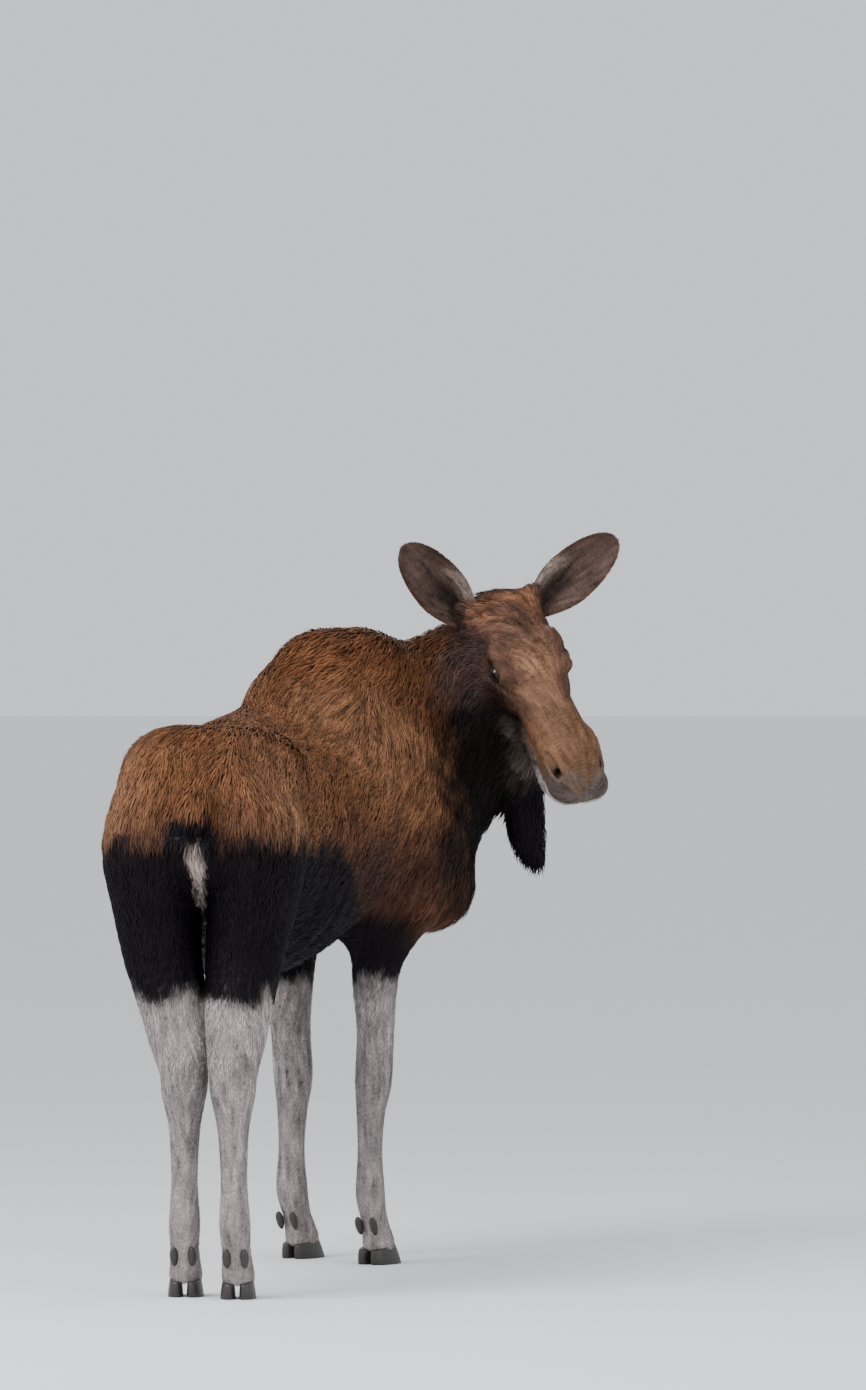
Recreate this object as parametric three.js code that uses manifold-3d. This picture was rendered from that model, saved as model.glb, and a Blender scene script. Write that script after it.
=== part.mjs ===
// A cow moose at life size, standing with her weight on all four feet. Her spine bends to the right and
// her neck is turned so far round that she looks back over her right shoulder.
//
// Millimetres, +Z up. The head end is toward -Y and the animal's right side is toward -X. The origin is
// on the ground, under the middle of the whole model's box.
//
// The flesh is one closed shape made of sweeps: rows of oval stations that are blended into each other.
// It is meshed piece by piece and parted with thin straight cuts. The surface is that of the coat's tips.
import * as THREE from "three";
import { mergeVertices } from "three/addons/utils/BufferGeometryUtils.js";
import Module from "manifold-3d";

const wasm = await Module();
wasm.setup();

// ---------------------------------------------------------------- driving dimensions

const GAP = 0.4; // width of every cut between two pieces
const CROUP_HEIGHT = 1490; // top of the hips
const HUMP_HEIGHT = 1750; // top of the mane over the shoulders
const TAIL_HEIGHT = 1333; // root of the tail

// The spine seen from above: straight over the pelvis, a round bend, then straight over the chest.
// A heading is measured from -Y, positive toward the animal's right.
const PELVIS_HEADING = THREE.MathUtils.degToRad(-5.7);
const CHEST_HEADING = THREE.MathUtils.degToRad(26.3);
const BEND_START = 600; // distances along the spine from the root of the tail
const BEND_END = 1500;

// Where the head is and how it is turned.
const POLL = new THREE.Vector3(-520, -1678, 1847);
const HEAD_YAW = THREE.MathUtils.degToRad(129); // from -Y, toward the animal's right
const HEAD_PITCH = THREE.MathUtils.degToRad(52.5); // nose down
const HEAD_ROLL = THREE.MathUtils.degToRad(22.5); // right cheek down

const EYE_RADIUS = 21;
const EYE_PLACE = [205, -40, 101]; // head space, right eye
const MOUTH_CORNER = [380, -131, 0]; // head space, on the middle plane
const MOUTH_DROP = THREE.MathUtils.degToRad(11.5); // how steeply the lips' parting falls toward the nose

const EAR_LENGTH = 298;
const EAR_HALF_WIDTH = 78;
const EAR_THICKNESS = 13;
const EAR_WIDEST = 0.42; // share of the length from the base
const EAR_BOW = 20; // how far the ear's middle line curves back

// Each ear in head space: the middle of its base, the way it points, and the way its cup opens.
const EARS = {
  right: { base: [10, -54, 102], axis: [-0.62, 0.585, 0.523], opening: [0.46, 0.81, 0.37] },
  left: { base: [24, -50, -102], axis: [-0.229, 0.507, -0.831], opening: [0.54, 0.78, 0.3] },
};

const HOOF_LENGTH = 118;
const HOOF_WIDTH = 46;
const HOOF_HEIGHT = 62;
const HOOF_AHEAD = 42; // from the leg's own line to the middle of a hoof
const SPLAY = THREE.MathUtils.degToRad(5); // each toe points a little outward
const DEWCLAW_SIZE = [13, 12, 27]; // half its width, depth and height
const DEWCLAW_PLACE = { behind: 28, out: 24, up: 108 };
const DEWCLAW_LEAN = 0.35;

// Where the pieces are parted.
const RUMP_END = 560; // distances along the spine
const BARREL_END = 1270;
const KNEE_HEIGHT = 850;
const HOCK_HEIGHT = 575;
const HIND_OUT = 75; // from the middle plane to a hind foot, before its hock's own offset
const WRIST_HEIGHT = 505;
const FETLOCK_HEIGHT = 172;
const MUZZLE_START = 405; // head space
const JAW_START = -210; // from the corner of the mouth
const NAPE_PLACE = [110, -225, 95]; // head space: the angle of the right jaw
const NAPE_FACING = [-0.08, 0.78, -0.62];
// A place, then the heading and the lean in degrees.
const NECK_CUTS = { base: [[-165, -1560, 1400], 42, 20], middle: [[-365, -1735, 1540], 62, 35] };
const THIGHS_ROLL = 3.6; // the cut between the thighs leans with them
const ARMPIT_ROLL = 32;

// ---------------------------------------------------------------- spaces

// The unit vector that points along a heading, and the one that points to its right.
const ahead = (heading) => new THREE.Vector3(-Math.sin(heading), -Math.cos(heading), 0);
const rightOf = (heading) => new THREE.Vector3(-Math.cos(heading), Math.sin(heading), 0);

const BEND_RADIUS = (BEND_END - BEND_START) / (CHEST_HEADING - PELVIS_HEADING);
const BEND_FROM = ahead(PELVIS_HEADING).multiplyScalar(BEND_START);
const BEND_CENTRE = BEND_FROM.clone().addScaledVector(rightOf(PELVIS_HEADING), BEND_RADIUS);
const BEND_TO = BEND_CENTRE.clone().addScaledVector(rightOf(CHEST_HEADING), -BEND_RADIUS);

// Body space is the animal standing straight: along the spine, to the right of it, and up.
function bodyPoint([along, right, up]) {
  let from = new THREE.Vector3();
  let heading = PELVIS_HEADING;
  let rest = along; // how far the point is along a straight length
  if (along > BEND_END) {
    from = BEND_TO.clone();
    heading = CHEST_HEADING;
    rest = along - BEND_END;
  } else if (along > BEND_START) {
    heading += (along - BEND_START) / BEND_RADIUS;
    from = BEND_CENTRE.clone().addScaledVector(rightOf(heading), -BEND_RADIUS);
    rest = 0;
  }
  const place = from.addScaledVector(ahead(heading), rest).addScaledVector(rightOf(heading), right);
  return place.setZ(up);
}

// The place in body space of a point of the model.
function intoBody([x, y, z]) {
  const p = new THREE.Vector3(x, y, 0);
  const before = p.dot(ahead(PELVIS_HEADING));
  if (before < BEND_START) return [before, p.dot(rightOf(PELVIS_HEADING)), z];
  const past = p.clone().sub(BEND_TO).dot(ahead(CHEST_HEADING));
  if (past > 0) return [BEND_END + past, p.sub(BEND_TO).dot(rightOf(CHEST_HEADING)), z];
  const spoke = p.sub(BEND_CENTRE);
  const turn = Math.atan2(spoke.dot(ahead(PELVIS_HEADING)), -spoke.dot(rightOf(PELVIS_HEADING)));
  return [BEND_START + turn * BEND_RADIUS, BEND_RADIUS - spoke.length(), z];
}

// Head space: from the poll toward the nose, up out of the forehead, and to the animal's right.
const NOSEWARD = ahead(HEAD_YAW).multiplyScalar(Math.cos(HEAD_PITCH)).setZ(-Math.sin(HEAD_PITCH));
const LEVEL_CROWN = ahead(HEAD_YAW).multiplyScalar(Math.sin(HEAD_PITCH)).setZ(Math.cos(HEAD_PITCH));
const CHEEKWARD = rightOf(HEAD_YAW)
  .multiplyScalar(Math.cos(HEAD_ROLL))
  .addScaledVector(LEVEL_CROWN, -Math.sin(HEAD_ROLL));
const CROWNWARD = LEVEL_CROWN.clone()
  .multiplyScalar(Math.cos(HEAD_ROLL))
  .addScaledVector(rightOf(HEAD_YAW), Math.sin(HEAD_ROLL));

const headPoint = ([nose, crown, right]) =>
  POLL.clone()
    .addScaledVector(NOSEWARD, nose)
    .addScaledVector(CROWNWARD, crown)
    .addScaledVector(CHEEKWARD, right);

function intoHead([x, y, z]) {
  const p = new THREE.Vector3(x, y, z).sub(POLL);
  return [p.dot(NOSEWARD), p.dot(CROWNWARD), p.dot(CHEEKWARD)];
}

// ---------------------------------------------------------------- sweeps

const SUBDIVISIONS = 4; // straight lengths between two stations
const TINY = 1e-6;

const dot = (a, b) => a[0] * b[0] + a[1] * b[1] + a[2] * b[2];
const minus = (a, b) => [a[0] - b[0], a[1] - b[1], a[2] - b[2]];
const cross = (a, b) => [
  a[1] * b[2] - a[2] * b[1],
  a[2] * b[0] - a[0] * b[2],
  a[0] * b[1] - a[1] * b[0],
];
const unit = (a) => {
  const length = Math.hypot(...a) || TINY;
  return [a[0] / length, a[1] / length, a[2] / length];
};
const mix = (a, b, t) => a + (b - a) * t;

// One oval station: its middle, its half width, and its reach up and down. "Up" is the sweep's dorsal
// direction, which on a leg is forward.
const station = (at, wide, up, down = up) => [...at, wide, up, down];

// The value of a Catmull-Rom curve between b and c.
const curve = (a, b, c, d, t) =>
  0.5 * (2 * b + (c - a) * t + (2 * a - 5 * b + 4 * c - d) * t * t + (3 * b - a - 3 * c + d) * t ** 3);

function subdivide(stations) {
  const rows = [];
  const last = stations.length - 1;
  for (let i = 0; i < last; i++) {
    const [a, b, c, d] = [i - 1, i, i + 1, i + 2].map((k) => stations[Math.min(Math.max(k, 0), last)]);
    for (let k = 0; k < SUBDIVISIONS; k++)
      rows.push(b.map((_, n) => curve(a[n], b[n], c[n], d[n], k / SUBDIVISIONS)));
  }
  return [...rows, stations[last]];
}

// A solid swept through oval stations. distance() is negative inside and about true near the surface.
class Sweep {
  constructor(stations, { dorsal = [0, 0, 1], blend = 60 } = {}) {
    this.blend = blend;
    const rows = subdivide(stations);
    this.lengths = rows.slice(1).map((b, i) => {
      const a = rows[i];
      const along = minus(b, a);
      const dir = unit(along);
      const side = unit(cross(dir, dorsal));
      return { a, b, dir, side, up: cross(side, dir), length: Math.hypot(...along) };
    });
    this.low = [0, 1, 2].map((k) => Math.min(...rows.map((r) => r[k] - Math.max(r[3], r[4], r[5]))));
    this.high = [0, 1, 2].map((k) => Math.max(...rows.map((r) => r[k] + Math.max(r[3], r[4], r[5]))));
  }

  // No point of the sweep is nearer than this.
  atLeast(p) {
    const x = Math.max(this.low[0] - p[0], p[0] - this.high[0], 0);
    const y = Math.max(this.low[1] - p[1], p[1] - this.high[1], 0);
    const z = Math.max(this.low[2] - p[2], p[2] - this.high[2], 0);
    return Math.sqrt(x * x + y * y + z * z);
  }

  distance(p) {
    let best = Infinity;
    for (const { a, b, dir, side, up, length } of this.lengths) {
      const from = [p[0] - a[0], p[1] - a[1], p[2] - a[2]];
      const along = dot(from, dir);
      const t = Math.min(Math.max(along / length, 0), 1);
      const x = dot(from, side);
      const y = dot(from, up);
      const wide = mix(a[3], b[3], t);
      const tall = y > 0 ? mix(a[4], b[4], t) : mix(a[5], b[5], t);
      const cap = Math.min(wide, tall);
      const beyond = along - t * length;
      const level = Math.sqrt((x / wide) ** 2 + (y / tall) ** 2 + (beyond / cap) ** 2);
      const slope = Math.sqrt((x / wide ** 2) ** 2 + (y / tall ** 2) ** 2 + (beyond / cap ** 2) ** 2);
      best = Math.min(best, level < TINY ? -cap : ((level - 1) * level) / slope);
    }
    return best;
  }
}

const smoothMin = (a, b, blend) => {
  const h = Math.max(blend - Math.abs(a - b), 0) / blend;
  return Math.min(a, b) - (h * h * blend) / 4;
};

// The blended union of some sweeps, by a point of the space that they are in.
const union = (sweeps) => (p) => {
  let d = Infinity;
  for (const sweep of sweeps)
    if (sweep.atLeast(p) < d + sweep.blend) d = smoothMin(d, sweep.distance(p), sweep.blend);
  return d;
};

// ---------------------------------------------------------------- flesh

function torso() {
  const barrel = new Sweep([
    station([130, 0, 1225], 150, TAIL_HEIGHT - 1225, 125),
    station([340, 0, 1245], 235, CROUP_HEIGHT - 1253, 240),
    station([620, 0, 1190], 290, 290, 310),
    station([880, 0, 1160], 335, 325, 345),
    station([1130, 0, 1190], 330, 305, 325),
    station([1360, 0, 1240], 290, 300, 320),
    station([1560, 10, 1270], 255, 290, 310),
    station([1710, 25, 1260], 205, 250, 260),
  ]);
  const hump = new Sweep(
    [
      station([780, 0, 1390], 75, 98, 120),
      station([1080, 0, 1445], 85, 115, 150),
      station([1360, 0, 1580], 92, HUMP_HEIGHT - 1586, 200),
      station([1560, 10, 1600], 95, 135, 200),
    ],
    { blend: 110 },
  );
  const hips = [1, -1].map(
    (side) =>
      new Sweep([station([290, 90 * side, 1400], 60, 66), station([470, 150 * side, 1385], 60, 66)], {
        blend: 110,
      }),
  );
  return [barrel, hump, ...hips];
}

// A hind leg from the buttock to the coronet. Its stations' "up" is forward.
function hindLeg({ side, hip, knee, hock, foot }) {
  const at = (along, right, up) => [along, right * side, up];
  const slant = hock - knee;
  return [
    new Sweep(
      [
        station(at(hip, 100, 1330), 120, 170, 190),
        station(at(hip - 8, 146, 1190), 124, 225, 230),
        station(at(hip - 12, 138 + knee, 1040), 120, 235, 205),
        station(at(hip - 42, 120 + knee, 900), 104, 180, 150),
        station(at(mix(hip - 90, foot + 45, 0.4), 98 + knee + slant * 0.4, 780), 92, 112, 98),
        station(at(foot + 5, 84 + knee + slant * 0.7, 680), 80, 76, 70),
        station(at(foot - 42, 70 + hock, 595), 66, 58, 60),
        station(at(foot - 42, 70 + hock, 530), 58, 54, 56),
        station(at(foot - 34, 70 + hock, 440), 42, 42, 44),
        station(at(foot - 28, 71 + hock, 310), 36, 37, 38),
        station(at(foot - 18, 72 + hock, 200), 42, 44, 46),
        station(at(foot + 4, 74 + hock, 125), 39, 40, 38),
        station(at(foot + 34, HIND_OUT + hock, 58), 45, 52, 46),
      ],
      { dorsal: [1, 0, 0], blend: 70 },
    ),
    new Sweep(
      [station(at(foot - 92, 70 + hock, 620), 24, 26), station(at(foot - 68, 70 + hock, 555), 30, 30)],
      { blend: 50 },
    ),
  ];
}

// A foreleg from the top of the shoulder blade to the coronet. Its stations' "up" is forward.
function foreLeg({ side, shoulder, foot, stance }) {
  const at = (along, right, up) => [along, right * side, up];
  return [
    new Sweep(
      [
        station(at(shoulder - 80, 95, 1570), 55, 90),
        station(at(shoulder + 20, 165, 1400), 88, 140, 150),
        station(at(shoulder + 150, 210, 1200), 95, 120, 150),
      ],
      { dorsal: [1, 0, 0], blend: 110 },
    ),
    new Sweep(
      [
        station(at(shoulder + 150, 205, 1190), 92, 110, 110),
        station(at(shoulder + 40, 200, 1050), 92, 125, 130),
        station(at(foot + 10, 182, 920), 78, 104, 104),
        station(at(foot + 4, 168, 790), 64, 78, 76),
        station(at(foot + 2, stance + 12, 650), 54, 60, 58),
        station(at(foot + 4, stance + 4, 510), 54, 55, 54),
        station(at(foot - 4, stance, 420), 42, 42, 44),
        station(at(foot - 8, stance, 310), 36, 37, 38),
        station(at(foot - 6, stance, 200), 42, 44, 46),
        station(at(foot + 14, stance, 125), 39, 40, 38),
        station(at(foot + 36, stance, 58), 46, 52, 46),
      ],
      { dorsal: [1, 0, 0], blend: 80 },
    ),
  ];
}

const neck = () => [
  new Sweep(
    [
      station([-70, -1450, 1360], 180, 325, 330),
      station([-205, -1610, 1405], 178, 335, 330),
      station([-325, -1710, 1490], 162, 278, 300),
      station([-425, -1755, 1610], 138, 206, 232),
      station([-500, -1745, 1720], 112, 130, 165),
    ],
    { blend: 120 },
  ),
  new Sweep(
    [station([-245, -1420, 1040], 140, 130, 125), station([-316, -1586, 1040], 140, 130, 122)],
    { blend: 130 },
  ),
];

function skull() {
  const dorsal = [0, 1, 0];
  const crown = new Sweep(
    [
      station([-5, -68, 0], 94, 62, 72),
      station([90, -68, 0], 106, 88, 95),
      station([200, -68, 0], 104, 74, 95),
      station([315, -73, 0], 82, 66, 76),
      station([430, -77, 0], 80, 79, 74),
      station([495, -90, 0], 84, 90, 72),
      station([546, -118, 0], 78, 66, 66),
    ],
    { dorsal, blend: 30 },
  );
  // She chews, so the upper lip is drawn to her left and the chin to her right.
  const lip = new Sweep([station([566, -150, -58], 44, 46), station([560, -138, 26], 38, 42)], {
    dorsal,
    blend: 36,
  });
  const jaw = new Sweep(
    [
      station([85, -135, 0], 74, 80, 92),
      station([200, -145, 0], 66, 70, 80),
      station([350, -154, 0], 62, 46, 80),
      station([450, -172, 2], 66, 34, 58),
      station([506, -190, 8], 62, 32, 37),
      station([538, -196, 10], 46, 26, 28),
    ],
    { dorsal, blend: 34 },
  );
  // A short sweep on each side, given by the two stations of the right one.
  const pair = (side, [from, ...fromSize], [to, ...toSize], blend) => {
    const at = ([nose, up, right]) => [nose, up, right * side];
    return new Sweep([station(at(from), ...fromSize), station(at(to), ...toSize)], { dorsal, blend });
  };
  const sides = [1, -1].flatMap((side) => [
    pair(side, [[95, -110, 62], 42, 80], [[235, -108, 58], 36, 60], 50), // cheek
    pair(side, [[145, -14, 86], 28, 28], [[240, -24, 90], 23, 21], 36), // brow
    pair(side, [[130, -84, 92], 22, 24], [[285, -88, 74], 18, 22], 36), // arch under the eye
    pair(side, [[470, -54, 50 + 2 * side], 32, 30], [[546, -82, 46 + 3 * side], 31, 31], 36), // nostril
    pair(side, [[20, -55, 66], 40, 40], [[-10, -40, 106], 34, 34], 50), // root of the ear
  ]);
  return [crown, lip, jaw, ...sides];
}

// The hanging flap of skin under the throat, in the model's own space.
const bell = () => [
  new Sweep(
    [
      station([-548, -1794, 1500], 34, 60, 66),
      station([-553, -1797, 1370], 36, 64, 66),
      station([-565, -1795, 1230], 36, 64, 58),
      station([-580, -1794, 1160], 32, 52, 46),
      station([-602, -1793, 1116], 20, 26, 26),
    ],
    { dorsal: [1, 0, 0], blend: 40 },
  ),
];

const tail = () => [
  new Sweep(
    [
      station([90, 0, 1335], 46, 30, 30),
      station([38, 0, 1310], 52, 26, 28),
      station([10, 0, 1265], 44, 20, 24),
      station([2, 0, 1230], 28, 12, 15),
    ],
    { dorsal: [1, 0, 0], blend: 20 },
  ),
];

// How each leg stands, in body space. "side" is 1 on the right.
const LEGS = {
  hind_right: { hind: true, side: 1, hip: 262, knee: -10, hock: 30, foot: 85 },
  hind_left: { hind: true, side: -1, hip: 262, knee: -12, hock: -34, foot: 150 },
  fore_right: { hind: false, side: 1, shoulder: 1400, foot: 1420, stance: 158 },
  fore_left: { hind: false, side: -1, shoulder: 1400, foot: 1475, stance: 150 },
};

const legSweeps = (leg) => (leg.hind ? hindLeg(leg) : foreLeg(leg));

const NECK_BLEND = 140;
const HEAD_BLEND = 60;
const TORSO = torso();
const headField = union(skull());
const neckField = union(neck());
const bodyField = union([...TORSO, ...Object.values(LEGS).flatMap(legSweeps)]);

// The whole animal without its legs' ends run together, by a point of the model.
const wholeField = (p) =>
  smoothMin(
    smoothMin(bodyField(intoBody(p)), neckField(p), NECK_BLEND),
    headField(intoHead(p)),
    HEAD_BLEND,
  );

// ---------------------------------------------------------------- meshing

const PROJECTIONS = 3; // steps that carry a vertex onto the surface
const PROBE = 2; // spacing of the slope measurement
const BLOCK = 4; // samples a side of the blocks that are skipped when the surface is far from them
const SAFETY = 2.2; // how much further than a block's corner the surface has to be for that
const OUTSIDE = 1e3; // the value that closes the mesh at the box, and stands for far from the surface

function slopeOf(field, p) {
  return [0, 1, 2].map((k) => {
    const [low, high] = [-PROBE, PROBE].map((step) => field(p.map((v, n) => (n === k ? v + step : v))));
    return (high - low) / (2 * PROBE);
  });
}

// Moves a vertex onto the surface, but no further than its cell allows.
function settle(field, start, cell) {
  let p = start;
  for (let i = 0; i < PROJECTIONS; i++) {
    const slope = slopeOf(field, p);
    const step = field(p) / Math.max(dot(slope, slope), 0.1);
    p = p.map((v, k) => v - step * slope[k]);
  }
  return p.map((v, k) => Math.min(Math.max(v, start[k] - cell[k] / 2), start[k] + cell[k] / 2));
}

// The corners of a cell, and the pairs of them that its edges join.
const CORNERS = [0, 1].flatMap((k) => [0, 1].flatMap((j) => [0, 1].map((i) => [i, j, k])));
const EDGES = CORNERS.flatMap((from, n) =>
  CORNERS.slice(n + 1)
    .filter((to) => from.reduce((sum, v, m) => sum + Math.abs(v - to[m]), 0) === 1)
    .map((to) => [from, to]),
);

// Samples of a field in a box. The surface passes between a sample below zero and one above it.
class Grid {
  constructor({ low, high, cell }) {
    this.low = low;
    this.cell = cell;
    this.count = low.map((v, k) => Math.max(3, Math.ceil((high[k] - v) / cell[k]) + 1));
    this.value = new Float64Array(this.count[0] * this.count[1] * this.count[2]);
  }

  index(i, j, k) {
    return i + this.count[0] * (j + this.count[1] * k);
  }

  node(i, j, k) {
    return [i, j, k].map((n, m) => this.low[m] + n * this.cell[m]);
  }

  // Visits every "step"-th sample of each row but its last.
  each(visit, step = 1) {
    for (let k = 0; k < this.count[2] - 1; k += step)
      for (let j = 0; j < this.count[1] - 1; j += step)
        for (let i = 0; i < this.count[0] - 1; i += step) visit(i, j, k);
  }

  // Samples the field near its surface. A block that is far from the surface gets one value.
  fill(field) {
    const half = this.cell.map((c) => (c * BLOCK) / 2);
    const clear = SAFETY * Math.hypot(...half);
    this.value.fill(OUTSIDE);
    this.each((i, j, k) => {
      const far = field(this.node(i, j, k).map((v, n) => v + half[n] - this.cell[n] / 2));
      this.fillBlock(field, [i, j, k], Math.abs(far) > clear ? Math.sign(far) * OUTSIDE : 0);
    }, BLOCK);
  }

  fillBlock(field, block, same) {
    const from = block.map((n) => Math.max(n, 1));
    const to = block.map((n, m) => Math.min(n + BLOCK, this.count[m] - 1));
    for (let k = from[2]; k < to[2]; k++)
      for (let j = from[1]; j < to[1]; j++)
        for (let i = from[0]; i < to[0]; i++)
          this.value[this.index(i, j, k)] = same || field(this.node(i, j, k));
  }

  // Where the surface cuts the edges of one cell, and whether the cell is at the box's own faces.
  crossings(i, j, k) {
    const places = [];
    let bordering = false;
    for (const [from, to] of EDGES) {
      const [a, b] = [from, to].map((c) => this.value[this.index(i + c[0], j + c[1], k + c[2])]);
      if (a < 0 === b < 0) continue;
      bordering ||= Math.max(a, b) >= OUTSIDE;
      const [p, q] = [from, to].map((c) => this.node(i + c[0], j + c[1], k + c[2]));
      places.push(p.map((v, n) => mix(v, q[n], a / (a - b))));
    }
    return { places, bordering };
  }
}

// Two triangles for each edge of the grid that the surface cuts, parted along the shorter diagonal.
function facesOf(grid, positions, vertexOf) {
  const triangles = [];
  const addQuad = (a, b, c, d, flip) => {
    const quad = flip ? [d, c, b, a] : [a, b, c, d];
    const span = (m, n) => Math.hypot(...minus(positions[quad[m]], positions[quad[n]]));
    const [p, q, r, s] = quad;
    if (span(0, 2) < span(1, 3)) triangles.push(p, q, r, p, r, s);
    else triangles.push(q, r, s, q, s, p);
  };
  grid.each((i, j, k) => {
    const inside = (di, dj, dk) => grid.value[grid.index(i + di, j + dj, k + dk)] < 0;
    const v = (di, dj, dk) => vertexOf.get(grid.index(i - di, j - dj, k - dk));
    const here = inside(0, 0, 0);
    if (here !== inside(1, 0, 0)) addQuad(v(0, 1, 1), v(0, 0, 1), v(0, 0, 0), v(0, 1, 0), !here);
    if (here !== inside(0, 1, 0)) addQuad(v(1, 0, 1), v(1, 0, 0), v(0, 0, 0), v(0, 0, 1), !here);
    if (here !== inside(0, 0, 1)) addQuad(v(1, 1, 0), v(0, 1, 0), v(0, 0, 0), v(1, 0, 0), !here);
  });
  return triangles;
}

// The surface of a field inside a box as a closed solid, with one vertex in each cell that it crosses.
// The field and the box are in one space, and "toModel" carries a point of it into the model.
function meshField(field, box, toModel) {
  const grid = new Grid(box);
  grid.fill(field);
  const positions = [];
  const vertexOf = new Map();
  grid.each((i, j, k) => {
    const { places, bordering } = grid.crossings(i, j, k);
    if (!places.length) return;
    const middle = [0, 1, 2].map((n) => places.reduce((sum, p) => sum + p[n], 0) / places.length);
    vertexOf.set(grid.index(i, j, k), positions.length);
    positions.push(bordering ? middle : settle(field, middle, box.cell));
  });
  return solidFrom(positions.map(toModel), facesOf(grid, positions, vertexOf));
}

// ---------------------------------------------------------------- solids

// A solid of points and triangles, turned the right way out where a mirrored space made it inside out.
function solidFrom(points, triangles) {
  let volume = 0;
  for (let i = 0; i < triangles.length; i += 3) {
    const [a, b, c] = [0, 1, 2].map((k) => points[triangles[i + k]]);
    volume += a.dot(b.clone().cross(c));
  }
  return new wasm.Manifold(
    new wasm.Mesh({
      numProp: 3,
      vertProperties: new Float32Array(points.flatMap((p) => p.toArray())),
      triVerts: new Uint32Array(volume < 0 ? triangles.toReversed() : triangles),
    }),
  );
}

function solidOf(geometry) {
  const bare = geometry.clone();
  bare.deleteAttribute("normal");
  bare.deleteAttribute("uv");
  const merged = mergeVertices(bare, 1e-3);
  return new wasm.Manifold(
    new wasm.Mesh({
      numProp: 3,
      vertProperties: new Float32Array(merged.attributes.position.array),
      triVerts: new Uint32Array(merged.index.array),
    }),
  );
}

function geometryOf(solid) {
  const mesh = solid.getMesh();
  const geometry = new THREE.BufferGeometry();
  geometry.setAttribute("position", new THREE.BufferAttribute(new Float32Array(mesh.vertProperties), 3));
  geometry.setIndex(new THREE.BufferAttribute(new Uint32Array(mesh.triVerts), 1));
  geometry.computeVertexNormals();
  return geometry;
}

// A solid a little larger than another, to cut room for that one out of its neighbour.
function swollen(solid, by) {
  const geometry = geometryOf(solid);
  const { position, normal } = geometry.attributes;
  for (let i = 0; i < position.count; i++)
    position.setXYZ(
      i,
      position.getX(i) + by * normal.getX(i),
      position.getY(i) + by * normal.getY(i),
      position.getZ(i) + by * normal.getZ(i),
    );
  return solidOf(geometry);
}

// The solid of a box in a rigid frame, every face moved out by "grow".
function box({ origin, axes }, low, high, grow = 0) {
  const size = high.map((v, k) => v - low[k] + 2 * grow);
  const geometry = new THREE.BoxGeometry(...size);
  geometry.translate(...high.map((v, k) => (v + low[k]) / 2));
  geometry.applyMatrix4(new THREE.Matrix4().makeBasis(...axes).setPosition(origin));
  return solidOf(geometry);
}

// The largest of the bodies of a solid, without the specks that a cut can leave.
function mainBody(solid) {
  const bodies = solid.decompose();
  return bodies.reduce((a, b) => (b.volume() > a.volume() ? b : a));
}

// ---------------------------------------------------------------- frames and spaces of the cuts

const UP = new THREE.Vector3(0, 0, 1);
const HALF_GAP = GAP / 2;
const THIGH_CUT = { along: 250, up: 1150, lean: -15, front: 290, parting: 1040 };
const ARMPIT_CUT = { up: 940, inner: 70, back: -200, front: 150 };
const headDirection = (way) => headPoint(way).sub(POLL);

// A frame of the body with its axes to the right, ahead and up, leaned back about its first axis.
function bodyFrame(along, heading, height, lean = 0) {
  const [right, forward] = [rightOf(heading), ahead(heading)];
  const tilt = THREE.MathUtils.degToRad(lean);
  return {
    origin: bodyPoint([along, 0, height]),
    axes: [
      right,
      forward.clone().multiplyScalar(Math.cos(tilt)).addScaledVector(UP, Math.sin(tilt)),
      UP.clone().multiplyScalar(Math.cos(tilt)).addScaledVector(forward, -Math.sin(tilt)),
    ],
  };
}

// A frame turned about its second axis, so that its first axis rises.
function rolled({ origin, axes: [right, forward, up] }, degrees) {
  const turn = THREE.MathUtils.degToRad(degrees);
  return {
    origin,
    axes: [
      right.clone().multiplyScalar(Math.cos(turn)).addScaledVector(up, Math.sin(turn)),
      forward,
      up.clone().multiplyScalar(Math.cos(turn)).addScaledVector(right, -Math.sin(turn)),
    ],
  };
}

// A frame in the neck, square to its own line.
function neckFrame(at, heading, lean) {
  const turned = THREE.MathUtils.degToRad(heading);
  return { ...bodyFrame(0, turned, 0, lean), origin: new THREE.Vector3(...at) };
}

// The frame of the plane that parts the head from the neck, through the angle of the right jaw and
// behind the poll.
function napeFrame() {
  const facing = headDirection(NAPE_FACING).normalize();
  const across = new THREE.Vector3().crossVectors(facing, NOSEWARD).normalize();
  return {
    origin: headPoint(NAPE_PLACE),
    axes: [facing, across, new THREE.Vector3().crossVectors(facing, across)],
  };
}

// A frame at the corner of the mouth, its first axis along the lips' parting.
function jawFrame() {
  const along = headDirection([Math.cos(MOUTH_DROP), -Math.sin(MOUTH_DROP), 0]);
  const up = headDirection([Math.sin(MOUTH_DROP), Math.cos(MOUTH_DROP), 0]);
  return { origin: headPoint(MOUTH_CORNER), axes: [along, up, CHEEKWARD] };
}

const LEVEL = {
  origin: new THREE.Vector3(),
  axes: [new THREE.Vector3(1, 0, 0), new THREE.Vector3(0, 1, 0), UP],
};
const HEAD_FRAME = { origin: POLL, axes: [NOSEWARD, CROWNWARD, CHEEKWARD] };
const JAW_FRAME = jawFrame();
const NAPE = napeFrame();
const NECK_BASE = neckFrame(...NECK_CUTS.base);
const NECK_MIDDLE = neckFrame(...NECK_CUTS.middle);

const REACH = 1500; // a box side that is further out than any part of the animal

// The half of space ahead of a frame's plane, along one of its axes.
const aheadOf = (frame, axis, grow) => {
  const low = [0, 1, 2].map((k) => (k === axis ? 0 : -2 * REACH));
  return box(frame, low, [2 * REACH, 2 * REACH, 2 * REACH], grow);
};
const neckSpace = (grow) => aheadOf(NECK_BASE, 1, grow);
const headSpace = (grow) => aheadOf(NAPE, 0, grow);

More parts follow.
